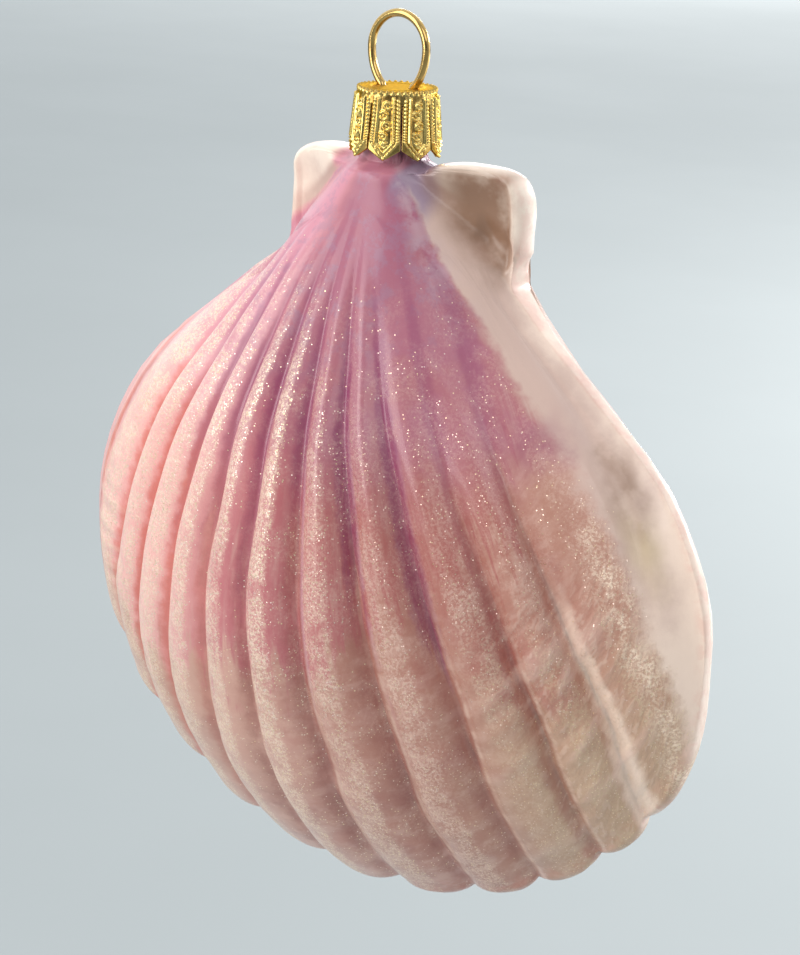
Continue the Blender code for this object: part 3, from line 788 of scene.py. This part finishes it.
class Graph:
    """Short calls for building a node tree."""

    def __init__(self, tree):
        self.tree = tree

    def put(self, socket, value):
        if isinstance(value, bpy.types.NodeSocket):
            self.tree.links.new(value, socket)
        elif hasattr(value, "__len__") and len(value) == 3 and len(socket.default_value) == 4:
            socket.default_value = (*value, 1.0)
        else:
            socket.default_value = value

    def node(self, kind, inputs=None, **settings):
        made = self.tree.nodes.new("ShaderNode" + kind)
        for name, value in settings.items():
            setattr(made, name, value)
        for name, value in (inputs or {}).items():
            self.put(made.inputs[name], value)
        return made

    def maths(self, operation, *values):
        return self.node("Math", dict(enumerate(values)), operation=operation).outputs[0]

    def add(self, a, b):
        return self.maths("ADD", a, b)

    def take(self, a, b):
        return self.maths("SUBTRACT", a, b)

    def times(self, a, *others):
        for b in others:
            a = self.maths("MULTIPLY", a, b)
        return a

    def between(self, value, low, high, at_low=0.0, at_high=1.0):
        inputs = {"Value": value, "From Min": low, "From Max": high, "To Min": at_low, "To Max": at_high}
        return self.node("MapRange", inputs, interpolation_type="SMOOTHSTEP").outputs["Result"]

    def opposite(self, value):
        return self.take(1.0, value)

    def larger(self, a, b):
        return self.maths("MAXIMUM", a, b)

    def hump(self, value, middle, half_width):
        """1 at the middle and 0 beyond the half width."""
        away = self.maths("ABSOLUTE", self.take(value, middle))
        return self.between(away, 0.0, half_width, 1.0, 0.0)

    def mix(self, factor, a, b):
        made = self.node("Mix", data_type="RGBA")
        self.put(made.inputs["Factor"], factor)
        self.put(made.inputs[6], a)
        self.put(made.inputs[7], b)
        return made.outputs[2]

    def noise(self, vector, scale, detail=2.0, roughness=0.5, output="Fac"):
        inputs = {"Vector": vector, "Scale": scale, "Detail": detail, "Roughness": roughness}
        return self.node("TexNoise", inputs).outputs[output]

    def attribute(self, name):
        return self.node("Attribute", attribute_name=name).outputs["Fac"]

    def position(self):
        return self.node("TexCoord").outputs["Object"]

    def vector(self, x, y, z):
        return self.node("CombineXYZ", {"X": x, "Y": y, "Z": z}).outputs[0]

    def plug(self, shader, **values):
        for name, value in values.items():
            self.put(shader.inputs[name.replace("_", " ")], value)

    def group(self, tree, **values):
        made = self.node("Group", node_tree=tree)
        for name, value in values.items():
            self.put(made.inputs[name.replace("_", " ").capitalize()], value)
        return made.outputs


def new_material(name, graph=Graph, **shader_values):
    """A material with its Principled shader's plain values set, and a graph to build its nodes with."""
    made = bpy.data.materials.new(name)
    made.use_nodes = True
    shader = made.node_tree.nodes["Principled BSDF"]
    for key, value in shader_values.items():
        shader.inputs[key.replace("_", " ")].default_value = value
    return made, graph(made.node_tree), shader


def new_group(name, inputs, outputs):
    """An empty node group with named sockets: (name, kind, default)."""
    tree = bpy.data.node_groups.new(name, "ShaderNodeTree")
    for label, kind, default in inputs:
        socket = tree.interface.new_socket(label, in_out="INPUT", socket_type="NodeSocket" + kind)
        if default is not None:
            socket.default_value = default
    for label, kind in outputs:
        tree.interface.new_socket(label, in_out="OUTPUT", socket_type="NodeSocket" + kind)
    given, out = tree.nodes.new("NodeGroupInput").outputs, tree.nodes.new("NodeGroupOutput").inputs
    return tree, Graph(tree), given, out


def handled_surface():
    """Soft cloudy wear for lacquer, gilding and wire: a roughness and a tone that wander, and fine dents."""
    found = bpy.data.node_groups.get("Handled surface")
    if found:
        return found
    tree, g, given, out = new_group(
        "Handled surface",
        [("Size", "Float", 0.004), ("Roughness", "Float", 0.25), ("Spread", "Float", 0.1),
         ("Dents", "Float", 0.2)],
        [("Tone", "Float"), ("Roughness", "Float"), ("Normal", "Vector")])
    scale = g.maths("DIVIDE", 1.0, given["Size"])
    clouds = g.noise(g.position(), scale, 4.0, 0.6)
    fine = g.noise(g.position(), g.times(scale, 7.0), 3.0, 0.55)
    g.put(out["Tone"], g.between(clouds, 0.3, 0.7))
    wander = g.times(g.take(clouds, 0.5), g.times(given["Spread"], 2.0))
    g.put(out["Roughness"], g.add(given["Roughness"], wander))
    dents = g.node("Bump", {"Height": fine, "Strength": given["Dents"], "Distance": 0.0001})
    g.put(out["Normal"], dents.outputs["Normal"])
    return tree


def glitter_flakes():
    """Small flat flakes that lie at all angles where the cover allows them."""
    found = bpy.data.node_groups.get("Glitter flakes")
    if found:
        return found
    tree, g, given, out = new_group(
        "Glitter flakes",
        [("Cover", "Float", 0.5), ("Size", "Float", 0.0003), ("Tilt", "Float", 0.6),
         ("Normal", "Vector", None)],
        [("Mask", "Float"), ("Tone", "Float"), ("Normal", "Vector")])
    scale = g.maths("DIVIDE", 1.0, given["Size"])
    cells = g.node("TexVoronoi", {"Vector": g.position(), "Scale": scale, "Randomness": 1.0})
    parts = g.node("SeparateColor", {"Color": cells.outputs["Color"]}).outputs
    chance = g.maths("LESS_THAN", parts["Red"], given["Cover"])
    mask = g.times(chance, g.between(cells.outputs["Distance"], 0.50, 0.36))
    g.put(out["Mask"], mask)
    g.put(out["Tone"], parts["Blue"])
    spread = g.node("VectorMath", {0: cells.outputs["Color"], 1: (0.5, 0.5, 0.5)}, operation="SUBTRACT")
    tilt = g.times(given["Tilt"], mask)
    tilted = g.node("VectorMath", {0: spread.outputs[0], "Scale": tilt}, operation="SCALE")
    summed = g.node("VectorMath", {0: given["Normal"], 1: tilted.outputs[0]}, operation="ADD")
    unit = g.node("VectorMath", {0: summed.outputs[0]}, operation="NORMALIZE")
    g.put(out["Normal"], unit.outputs[0])
    return tree


class Fan(Graph):
    """A graph that knows where a point of the shell lies, for the coats of paint.

    rib counts ribs from the middle one, and across runs over one rib from -0.5 to 0.5. angle is in degrees
    from straight down, and distance in millimetres from the apex; both are frayed, so that no paint ends on a
    true line. right, left, ribbed, inside and on_fan are masks.
    """

    def __init__(self, tree):
        super().__init__(tree)
        self.rib, self.reach = self.attribute("rib"), self.attribute("reach")
        self.spot = self.position()
        self.wide = self.centred(95, 3, 0.55)
        self.ragged = self.centred(420, 4, 0.6)
        self.mottled = self.centred(120, 5, 0.62)
        self.cloud = self.noise(self.spot, 140, 4, 0.6)
        self.streak, self.brush = self.strokes(9, 9), self.strokes(2.6, 46)
        parts = self.node("SeparateXYZ", {"Vector": self.spot}).outputs
        self.sideways = self.times(parts["X"], 1 / MM)
        self.down = self.take(HINGE + APEX, self.times(parts["Z"], 1 / MM))
        angle = self.times(self.maths("ARCTAN2", self.sideways, self.down), 180 / math.pi)
        self.angle = self.add(angle, self.fraying(5, 3))
        distance = self.add(self.times(self.sideways, self.sideways), self.times(self.down, self.down))
        self.distance = self.add(self.maths("SQRT", distance), self.fraying(12, 6))
        self.run = self.add(self.distance, self.times(self.take(self.streak, 0.5), 34))
        self.across = self.take(self.maths("FRACT", self.add(self.rib, 0.5)), 0.5)
        self.groove = self.add(self.maths("ABSOLUTE", self.across), self.times(self.ragged, 0.22))
        self.ribbed = self.between(self.maths("ABSOLUTE", self.rib), 5.7, 5.45)
        self.right = self.between(self.angle, -6, 26)
        self.left = self.between(self.angle, -4, -24)
        # The painted fan ends beside the outermost right rib, and reaches up under the cap
        fan_end = self.between(self.distance, 22, 62, 4.72, 5.34)
        strayed = self.add(self.rib, self.add(self.times(self.ragged, 0.35), self.times(self.wide, 0.3)))
        self.past_end = self.take(strayed, fan_end)
        from_left = self.between(self.angle, -52, -48)
        self.inside = self.times(self.between(self.past_end, 0.10, -0.12), from_left)
        under_cap = self.span(self.sideways, (-9, -7), (5, 4))
        under_cap = self.times(self.between(self.down, 7, 4.5), under_cap)
        self.on_fan = self.larger(self.inside, under_cap)

    def span(self, value, rise, fall):
        """1 after a rise and before a fall."""
        return self.times(self.between(value, *rise), self.between(value, *fall))

    def centred(self, scale, detail, roughness):
        """Noise from about -0.5 to 0.5."""
        return self.take(self.noise(self.spot, scale, detail, roughness), 0.5)

    def fraying(self, wide, ragged):
        return self.add(self.times(self.wide, wide), self.times(self.ragged, ragged))

    def strokes(self, over_ribs, along_ribs):
        """Noise drawn out along or across the ribs, different on the two valves."""
        front = self.times(self.attribute("front"), 5)
        place = self.vector(self.times(self.rib, over_ribs), self.times(self.reach, along_ribs), front)
        return self.noise(place, 1, 3, 0.6)


class Coat:
    """A colour that more paint is laid over."""

    def __init__(self, graph, colour):
        self.graph = graph
        self.colour = colour

    def lay(self, paint, *masks, **limits):
        """Cover the colour with paint, as far as the masks and the limits of the fan's values let it.

        A plain number among the masks thins the paint to that share.
        """
        g = self.graph
        masks += tuple(g.between(getattr(g, value), *ends) for value, ends in limits.items())
        self.colour = g.mix(g.times(*masks), self.colour, paint)


def ground_coat(g, paint):
    """Beige towards the umbo and cream near the edge, partly painted shade that darkens the ground towards
    the umbo; ivory on the ears.
    """
    ground = Coat(g, paint.beige)
    # Painted shade: the ground is beige and darker towards the umbo, and turns cream towards the edge.
    outward = g.add(g.add(g.reach, g.times(g.mottled, 0.6)), g.between(g.distance, 50, 85, -0.12, 0.04))
    ground.lay(paint.cream, g.between(outward, 0.60, 1.02))
    on_ear = g.times(g.between(g.maths("ABSOLUTE", g.angle), 54, 60), g.between(g.down, 24, 20))
    ground.lay(paint.ivory, on_ear, mottled=(0.2, -0.1, 0.5, 1))
    return ground, on_ear


def foot_coat(g, paint):
    """Pinkish tan towards the edge, with worn pearl, reddish marks and salmon patches."""
    foot = Coat(g, paint.tan)
    worn = g.add(g.between(g.rib, 4.6, 5, 0.28, 0.10), g.between(g.distance, 86, 104, 0, 0.18))
    foot.lay(paint.pale, worn, brush=(0.44, 0.66))
    foot.lay(paint.shell_pink, angle=(14, -12, 0, 0.55))
    foot.lay(paint.gold_dust, angle=(10, -14, 0, 0.35))
    foot.lay(paint.rosewood, 0.40, cloud=(0.54, 0.68), brush=(0.40, 0.56, 0.4, 1))
    sandy = g.times(g.between(g.rib, 1.8, 3.6), g.between(g.distance, 70, 92, 0, 0.5))
    foot.lay(paint.gold_dust, g.larger(sandy, g.between(g.rib, 4.4, 4.9, 0, 0.06)))
    patches = g.between(g.noise(g.spot, 75, 2, 0.5), 0.50, 0.64)
    foot.lay(paint.salmon, 0.60, patches, g.right, distance=(96, 80), rib=(4.6, 4.2))
    return foot


def rib_washes(g, paint, skin):
    """Pink on the left ribs, rose on the middle ones and salmon on the right."""
    end = g.add(g.add(74, g.times(g.right, -16)), g.times(g.left, 13))
    end = g.take(end, g.between(g.rib, 4.2, 4.8, 0, 14))
    pink = Coat(g, g.mix(g.left, g.mix(g.right, paint.rose, paint.salmon), paint.shell_pink))
    pink.lay(paint.pale, 0.35, streak=(0.45, 0.75), distance=(34, 60), rib=(4.2, 3.4))
    skin.lay(pink.colour, g.on_fan, g.between(g.take(g.run, end), 3.5, -3.5))


def umbo_washes(g, paint, skin):
    """Lilac over the left of the umbo, plum over its middle and the upper ribs, lavender beside it."""
    skin.lay(paint.lilac, g.on_fan, g.left, distance=(56, 28))
    end = g.add(38, g.times(g.right, 9))
    skin.lay(paint.plum, g.on_fan, g.opposite(g.times(g.left, 0.80)),
             g.between(g.take(g.distance, end), 9, -8), cloud=(0.34, 0.54, 0.70, 1))
    skin.lay(paint.violet, 0.28, g.on_fan, distance=(26, 14), angle=(-14, 4))
    dabs = g.between(g.noise(g.spot, 330, 5, 0.7), 0.48, 0.62)
    skin.lay(paint.lavender, 0.35, dabs, g.on_fan, distance=(36, 22))
    skin.lay(paint.lilac, 0.45, g.on_fan, down=(6.6, 4.6))
    beside = g.larger(g.between(g.angle, 40, 43), g.between(g.down, 9, 6))
    skin.lay(paint.lavender, 0.9, beside, g.span(g.sideways, (3.6, 4.8), (10.5, 8)), down=(15, 10),
             cloud=(0.30, 0.50, 0.7, 1))
    wisps = g.between(g.noise(g.spot, 260, 4, 0.65), 0.38, 0.60)
    skin.lay(paint.haze, 0.5, wisps, g.hump(g.angle, 39, 6), distance=(38, 18))


def groove_paint(g, paint, skin):
    """Coral in the left grooves, violet painted shade in the upper grooves, violet at the top of the middle
    ones, rosewood lower, and painted highlights beside the grooves.
    """
    skin.lay(paint.coral, 0.85, g.left, g.ribbed, groove=(0.30, 0.42), distance=(34, 52))
    skin.lay(paint.rosewood, g.on_fan, g.opposite(g.left), g.ribbed, groove=(0.27, 0.45),
             distance=(44, 58), cloud=(0.36, 0.54, 0.3, 1), rib=(3.6, 4.4, 0.5, 0.3))
    # Painted shade: violet darkens the upper grooves, fading out on the far left ribs.
    skin.lay(paint.violet, 0.45, g.on_fan, g.ribbed, g.span(g.distance, (14, 26), (56, 38)),
             groove=(0.24, 0.44), rib=(-5, -2.6))
    end = g.add(g.between(g.rib, 0.4, 2.6, 46, 68), g.between(g.rib, 0.2, -0.4, 0, 14))
    above_end = g.between(g.take(g.run, end), 5, -5)
    skin.lay(paint.violet, 0.62, above_end, g.span(g.rib, (-3.4, -2.2), (3.6, 2.8)), groove=(0.28, 0.40),
             rib=(0.2, 1.2, 0.45, 1), distance=(22, 34))
    # Painted highlight: light violet on the slope beside the middle grooves.
    skin.lay(paint.violet_highlight, 0.45, g.hump(g.across, -0.34, 0.09), g.hump(g.rib, 0.2, 3.6),
             distance=(30, 46), run=(84, 66), cloud=(0.36, 0.50))
    # Painted highlight: a thin cream line on each rib's left slope beside the groove, on the lower middle and
    # right ribs.
    highlight_line = g.hump(g.add(g.across, g.times(g.ragged, 0.05)), -0.37, 0.08)
    skin.lay(paint.cream, 0.5, g.on_fan, g.ribbed, highlight_line, distance=(60, 80), rib=(-3, -1),
             brush=(0.35, 0.6, 0.4, 1))


def side_marks(g, paint, skin, on_ear):
    """A painted highlight down the last groove, tan with painted shade in the right ear and the flank's
    dimple, painted highlights on the folds' crests, painted shade on the right ear's top, and blush along the
    mould seam.
    """
    # Painted highlight: a pale cream stripe down the groove beside the last right rib.
    half = g.between(g.distance, 72, 106, 0.11, 0.24)
    away = g.maths("ABSOLUTE", g.take(g.add(g.rib, g.times(g.ragged, 0.2)), 4.55))
    skin.lay(paint.cream, 0.85, g.between(g.take(away, half), 0.05, -0.10), distance=(60, 74))
    skin.lay(paint.violet, 0.5, g.hump(g.angle, 41, 5.5), g.hump(g.distance, 48, 5.5))
    # Tan paint with painted shade: darkens the right ear's hollow and the crease between the ear and the
    # umbo.
    inside_rim = g.between(g.add(g.sideways, g.ragged), 20.2, 18.4)
    skin.lay(paint.hollow, inside_rim, g.between(g.sideways, 6, 8), angle=(43, 50),
             sideways=(9, 13, 0.6, 1), down=(2.8, 4.8), cloud=(0.32, 0.52, 0.7, 1))
    # Painted shade: dull tan, with gold dust lower down, darkens the dip in the right flank.
    dimple = g.times(g.hump(g.add(g.rib, g.times(g.wide, 0.5)), 5.60, 0.26),
                     g.span(g.distance, (50, 58), (77, 66)))
    tan = g.mix(g.between(g.distance, 58, 68), paint.hollow, paint.gold_dust)
    skin.lay(tan, 0.85, dimple, cloud=(0.40, 0.54, 0.6, 1))
    # Painted highlight: pale paint on the crests of the fine folds and of the left flank's petal folds.
    fold_highlight = g.mix(g.left, paint.pale, paint.dust)
    skin.lay(fold_highlight, g.between(g.attribute("fold"), 0.15, 0.80, 0, 0.35))
    # Painted shade: tan dulls the top edge of the right ear.
    skin.lay(paint.tan, 0.45, on_ear, sideways=(16, 19.5), down=(11, 6), mottled=(-0.12, 0.12))
    skin.lay(paint.coral, 0.2, reach=(0.955, 0.995), ragged=(-0.10, 0.12))


def glitter_cover(g, settings):
    """How much of the glass glitter covers: the crests, a sprinkling over all, and a band by the last rib."""
    offset = g.take(g.between(g.rib, 2.2, 2.8, 0.10, -0.12), g.times(g.left, 0.12))
    off_crest = g.maths("ABSOLUTE", g.add(g.add(g.across, offset), g.times(g.ragged, 0.18)))
    crest = g.between(g.take(off_crest, g.times(g.left, 0.05)), 0.30, 0.16)
    clumps = g.between(g.noise(g.spot, 260, 4, 0.7), 0.32, 0.58, 0.25, 1)
    own = g.node("TexWhiteNoise", {"W": g.maths("ROUND", g.rib)}, noise_dimensions="1D").outputs["Value"]
    bare = g.times(g.right, g.between(g.distance, 66, 50, 0.28, 0.65))
    start = g.add(14, g.times(g.right, 12))
    band = g.times(crest, clumps, g.between(own, 0, 1, 0.8, 1), g.ribbed, g.on_fan, g.opposite(bare),
                   g.between(g.take(g.distance, start), 0, 22))
    sprinkled = g.between(g.noise(g.spot, 220, 4, 0.7), 0.36, 0.62)
    sprinkled = g.times(sprinkled, g.between(g.angle, -20, 10), g.inside,
                        g.between(g.distance, 14, 34), 0.25)
    last_band = g.times(g.hump(g.past_end, -0.16, 0.30), g.between(g.distance, 50, 68), clumps)
    densest = g.larger(g.larger(band, sprinkled), last_band)
    return g.times(densest, settings.glitter), last_band


def painted_glass(settings):
    """Pearly lacquer, washes of paint laid on by hand, and glitter on the ribs' crests."""
    made, g, shader = new_material("painted_glass", Fan, Coat_Roughness=0.13, Coat_IOR=1.5, IOR=1.5)
    skin, on_ear = ground_coat(g, settings)
    skin.lay(foot_coat(g, settings).colour, g.on_fan, distance=(34, 50))
    rib_washes(g, settings, skin)
    umbo_washes(g, settings, skin)
    groove_paint(g, settings, skin)
    side_marks(g, settings, skin, on_ear)

    # Creases in the paint of the right ribs, then powdered glitter, then single flakes
    creased = g.times(g.between(g.rib, 2.6, 3.8), g.between(g.distance, 58, 72), g.inside)
    crinkle = g.vector(g.times(g.rib, 3.5), g.times(g.reach, 75), g.times(g.rib, g.reach, 8))
    crinkle = g.noise(crinkle, 1, 2, 0.5)
    skin.lay(settings.cream, 0.20, g.between(crinkle, 0.53, 0.64), creased)
    cover, last_band = glitter_cover(g, settings)
    powder = Coat(g, g.mix(g.right, settings.dust, settings.pale))
    powder.lay(settings.gold_dust, rib=(1.5, 4.2), distance=(56, 84))
    powder.lay(settings.dust, last_band)
    grain = g.between(g.noise(g.spot, 2400, 2, 0.7), 0.40, 0.62)
    thickness = g.larger(g.between(grain, 0, 1, 0.30, 1), g.times(g.left, 0.38))
    skin.lay(powder.colour, cover, thickness)
    height = g.add(g.times(g.noise(g.spot, 700, 3, 0.6), 0.6), g.times(grain, cover, 0.8))
    height = g.add(height, g.times(crinkle, creased, 4.5))
    relief = g.node("Bump", {"Height": height, "Strength": 0.25, "Distance": 0.0002}).outputs["Normal"]
    flakes = g.group(glitter_flakes(), cover=g.times(cover, g.between(g.right, 0, 1, 0.66, 0.30)),
                     size=0.00023, tilt=0.45, normal=relief)
    flake_colour = g.mix(flakes["Tone"], settings.gold_flake, settings.pink_flake)
    skin.lay(flake_colour, flakes["Mask"], g.between(g.right, 0, 1, 1, 0.6))
    wear = g.group(handled_surface(), size=0.012, roughness=0.36, spread=0.08, dents=0.1)
    lacquer = g.between(g.distance, 16, 40, 0.22, 0.50)
    g.plug(shader, Base_Color=skin.colour, Metallic=g.times(flakes["Mask"], 0.8),
           Roughness=g.add(wear["Roughness"], g.times(cover, 0.12)),
           Coat_Weight=g.times(lacquer, g.opposite(g.times(cover, 0.7))), Normal=flakes["Normal"])
    return made


def stamped_gold(settings):
    """Bright lacquered gold with painted shade, brown and patchy, in the low parts of the stamping."""
    made, g, shader = new_material("gold_cap", Metallic=1, Specular_Tint=(1, 0.70, 0.25, 1))
    relief = g.attribute("relief")
    wear = g.group(handled_surface(), size=0.0024, roughness=0.11, spread=0.06, dents=0.14)
    # Painted shade: brown laid in the stamping's low parts and fields, made patchy by a noise.
    hollow = g.between(g.add(relief, g.times(wear["Tone"], 0.25)), 0.50, 0.10)
    shade_patches = g.between(g.noise(g.position(), 420, 3, 0.6), 0.46, 0.60)
    colour = g.mix(g.times(hollow, g.add(0.50, g.times(shade_patches, 0.50))), settings.gold, settings.shade)
    height = g.times(g.node("SeparateXYZ", {"Vector": g.position()}).outputs["Z"], 1 / MM)
    on_top = g.between(height, CAP_TOP - 0.3, CAP_TOP - 0.1)
    colour = g.mix(g.times(on_top, 0.7), colour, settings.top)
    colour = g.mix(g.times(wear["Tone"], 0.2), colour, settings.worn)
    dulled = g.add(g.times(hollow, 0.12), g.times(on_top, 0.30))
    g.plug(shader, Base_Color=colour, Roughness=g.add(wear["Roughness"], dulled), Normal=wear["Normal"])
    return made


def drawn_brass(settings):
    """Smooth brass wire with faint clouds of tarnish."""
    made, g, shader = new_material("gold_wire", Metallic=1)
    wear = g.group(handled_surface(), size=0.003, roughness=0.13, spread=0.08, dents=0.12)
    colour = g.mix(g.times(wear["Tone"], 0.4), settings.gold, settings.tarnish)
    g.plug(shader, Base_Color=colour, Roughness=wear["Roughness"], Normal=wear["Normal"])
    return made


def floor_finish(settings):
    """Matt paper."""
    made, g, shader = new_material("floor_paper", Specular_IOR_Level=0.2)
    wear = g.group(handled_surface(), size=0.6, roughness=0.85, spread=0.05, dents=0.0)
    shade = tuple(channel * 0.97 for channel in settings.floor)
    g.plug(shader, Base_Color=g.mix(wear["Tone"], settings.floor, shade), Roughness=wear["Roughness"])
    return made


# Stage

CAMERA_AZIMUTH = math.radians(37.25)
CAMERA_DISTANCE = 0.34014
CAMERA_HEIGHT = 0.03769
CAMERA_YAW = math.radians(-0.44)
CAMERA_PITCH = math.radians(-16.70)
CAMERA_ROLL = math.radians(2.46)
CAMERA_LENS = 94.8
FLOOR_RADIUS = 14.0
BRIGHT_SIDE = 180.0               # the studio is brightest this far round from the camera
# Degrees round from the camera and up, distance, size, colour, and how steeply the light is turned down
LIGHTS = {
    "key": (-60, 25, 0.9, (0.6, 1.0), (1.0, 0.97, 0.93), 0.0),
    "side": (92, -4, 0.8, (0.5, 1.1), (1.0, 0.98, 0.97), 0.0),
    "front": (20, 35, 1.0, (0.5, 0.5), (1.0, 0.98, 0.96), 0.0),
    "right_wash": (128, 11, 3.2, (1.5, 1.5), (1.0, 0.98, 0.97), 8.0),
    "far_wash": (170, 14, 10.0, (4.0, 4.0), (1.0, 0.98, 0.97), 8.0),
}


def add_camera():
    heading = CAMERA_AZIMUTH + CAMERA_YAW
    forward = Vector((-math.sin(heading) * math.cos(CAMERA_PITCH), math.cos(heading) * math.cos(CAMERA_PITCH),
                      math.sin(CAMERA_PITCH)))
    level = Vector((math.cos(heading), math.sin(heading), 0))
    upright = level.cross(forward)
    right = math.cos(CAMERA_ROLL) * level + math.sin(CAMERA_ROLL) * upright
    up = -math.sin(CAMERA_ROLL) * level + math.cos(CAMERA_ROLL) * upright
    lens = bpy.data.cameras.new("camera")
    lens.lens = CAMERA_LENS
    lens.clip_start = 0.01
    lens.clip_end = 100.0
    camera = bpy.data.objects.new("camera", lens)
    turned = Matrix((right, up, -forward)).transposed().to_4x4()
    camera.matrix_world = Matrix.Translation((
        CAMERA_DISTANCE * math.sin(CAMERA_AZIMUTH), -CAMERA_DISTANCE * math.cos(CAMERA_AZIMUTH),
        CAMERA_HEIGHT)) @ turned
    bpy.context.collection.objects.link(camera)
    bpy.context.scene.camera = camera


def add_light(name, power, azimuth, elevation, distance, size, colour, drop):
    """A rectangular soft light."""
    target = Vector((0, 0, (SHELL_LOW.z + SHELL_HIGH.z) / 2))
    a, e = CAMERA_AZIMUTH + math.radians(azimuth), math.radians(elevation)
    direction = Vector((math.sin(a) * math.cos(e), -math.cos(a) * math.cos(e), math.sin(e)))
    lamp = bpy.data.lights.new(name, "AREA")
    lamp.shape = "RECTANGLE"
    lamp.size, lamp.size_y = size
    lamp.energy = power
    lamp.color = colour
    light = bpy.data.objects.new(name, lamp)
    light.location = target + direction * distance
    aim = -direction - Vector((0, 0, drop))
    light.rotation_euler = aim.to_track_quat("-Z", "Y").to_euler()
    bpy.context.collection.objects.link(light)


def stage(settings):
    """Pale floor, soft lights and the camera."""
    bm = bmesh.new()
    bmesh.ops.create_circle(bm, cap_ends=True, segments=64, radius=FLOOR_RADIUS)
    bmesh.ops.translate(bm, vec=(0, 0, -settings.floor_drop), verts=bm.verts)
    mesh = bpy.data.meshes.new("floor")
    bm.to_mesh(mesh)
    bm.free()
    mesh.materials.append(floor_finish(settings))
    floor = bpy.data.objects.new("floor", mesh)
    bpy.context.collection.objects.link(floor)
    for name, light in LIGHTS.items():
        add_light(name, getattr(settings, name), *light)
    world = bpy.data.worlds.new("studio")
    world.use_nodes = True
    g = Graph(world.node_tree)
    heading = CAMERA_AZIMUTH + math.radians(BRIGHT_SIDE)
    bright_side = (math.sin(heading), -math.cos(heading), 0.35)
    facing = g.node("VectorMath", {0: g.node("TexCoord").outputs["Generated"], 1: bright_side},
                    operation="DOT_PRODUCT").outputs["Value"]
    background = world.node_tree.nodes["Background"]
    g.put(background.inputs["Color"], (0.92, 0.96, 1.0))
    room = g.between(facing, -0.7, 0.9, settings.dark_side, settings.bright_side)
    g.put(background.inputs["Strength"], g.times(room, g.between(facing, -1.0, -0.72, 0.25, 1.0)))
    bpy.context.scene.world = world
    bpy.context.scene.view_settings.view_transform = "Standard"
    add_camera()


# Operators and panel


class ORNAMENT_OT_glass_shell(bpy.types.Operator):
    """Blow, rib and paint the glass shell"""
    bl_idname = "ornament.glass_shell"
    bl_label = "Painted glass shell"

    def execute(self, context):
        glass_shell(context.scene.ornament_shell)
        return {"FINISHED"}


class ORNAMENT_OT_crown_cap(bpy.types.Operator):
    """Stamp the crown cap"""
    bl_idname = "ornament.crown_cap"
    bl_label = "Crown cap"

    def execute(self, context):
        crown_cap(context.scene.ornament_cap)
        return {"FINISHED"}


class ORNAMENT_OT_hanging_loop(bpy.types.Operator):
    """Bend the wire hanging loop"""
    bl_idname = "ornament.hanging_loop"
    bl_label = "Hanging loop"

    def execute(self, context):
        hanging_loop(context.scene.ornament_loop)
        return {"FINISHED"}


class ORNAMENT_OT_stage(bpy.types.Operator):
    """Lay the floor and place the lights and the camera"""
    bl_idname = "ornament.stage"
    bl_label = "Stage"

    def execute(self, context):
        stage(context.scene.ornament_stage)
        return {"FINISHED"}


OPERATORS = (ORNAMENT_OT_glass_shell, ORNAMENT_OT_crown_cap, ORNAMENT_OT_hanging_loop, ORNAMENT_OT_stage)
SETTINGS = {
    "ornament_shell": ShellSettings,
    "ornament_cap": CapSettings,
    "ornament_loop": LoopSettings,
    "ornament_stage": StageSettings,
}


class ORNAMENT_PT_pieces(bpy.types.Panel):
    """The ornament's pieces and their settings"""
    bl_label = "Scallop shell ornament"
    bl_space_type = "VIEW_3D"
    bl_region_type = "UI"
    bl_category = "Ornament"

    def draw(self, context):
        for operator, setting in zip(OPERATORS, SETTINGS):
            box = self.layout.box()
            box.operator(operator.bl_idname)
            settings = getattr(context.scene, setting)
            for name in SETTINGS[setting].__annotations__:
                box.prop(settings, name)


CLASSES = (*SETTINGS.values(), *OPERATORS, ORNAMENT_PT_pieces)


def register():
    for made in CLASSES:
        bpy.utils.register_class(made)
    for name, kind in SETTINGS.items():
        setattr(bpy.types.Scene, name, PointerProperty(type=kind))


def unregister():
    for name in SETTINGS:
        delattr(bpy.types.Scene, name)
    for made in reversed(CLASSES):
        bpy.utils.unregister_class(made)


def main():
    register()
    bpy.ops.ornament.glass_shell()
    bpy.ops.ornament.crown_cap()
    bpy.ops.ornament.hanging_loop()
    bpy.ops.ornament.stage()


if __name__ == "__main__":
    main()
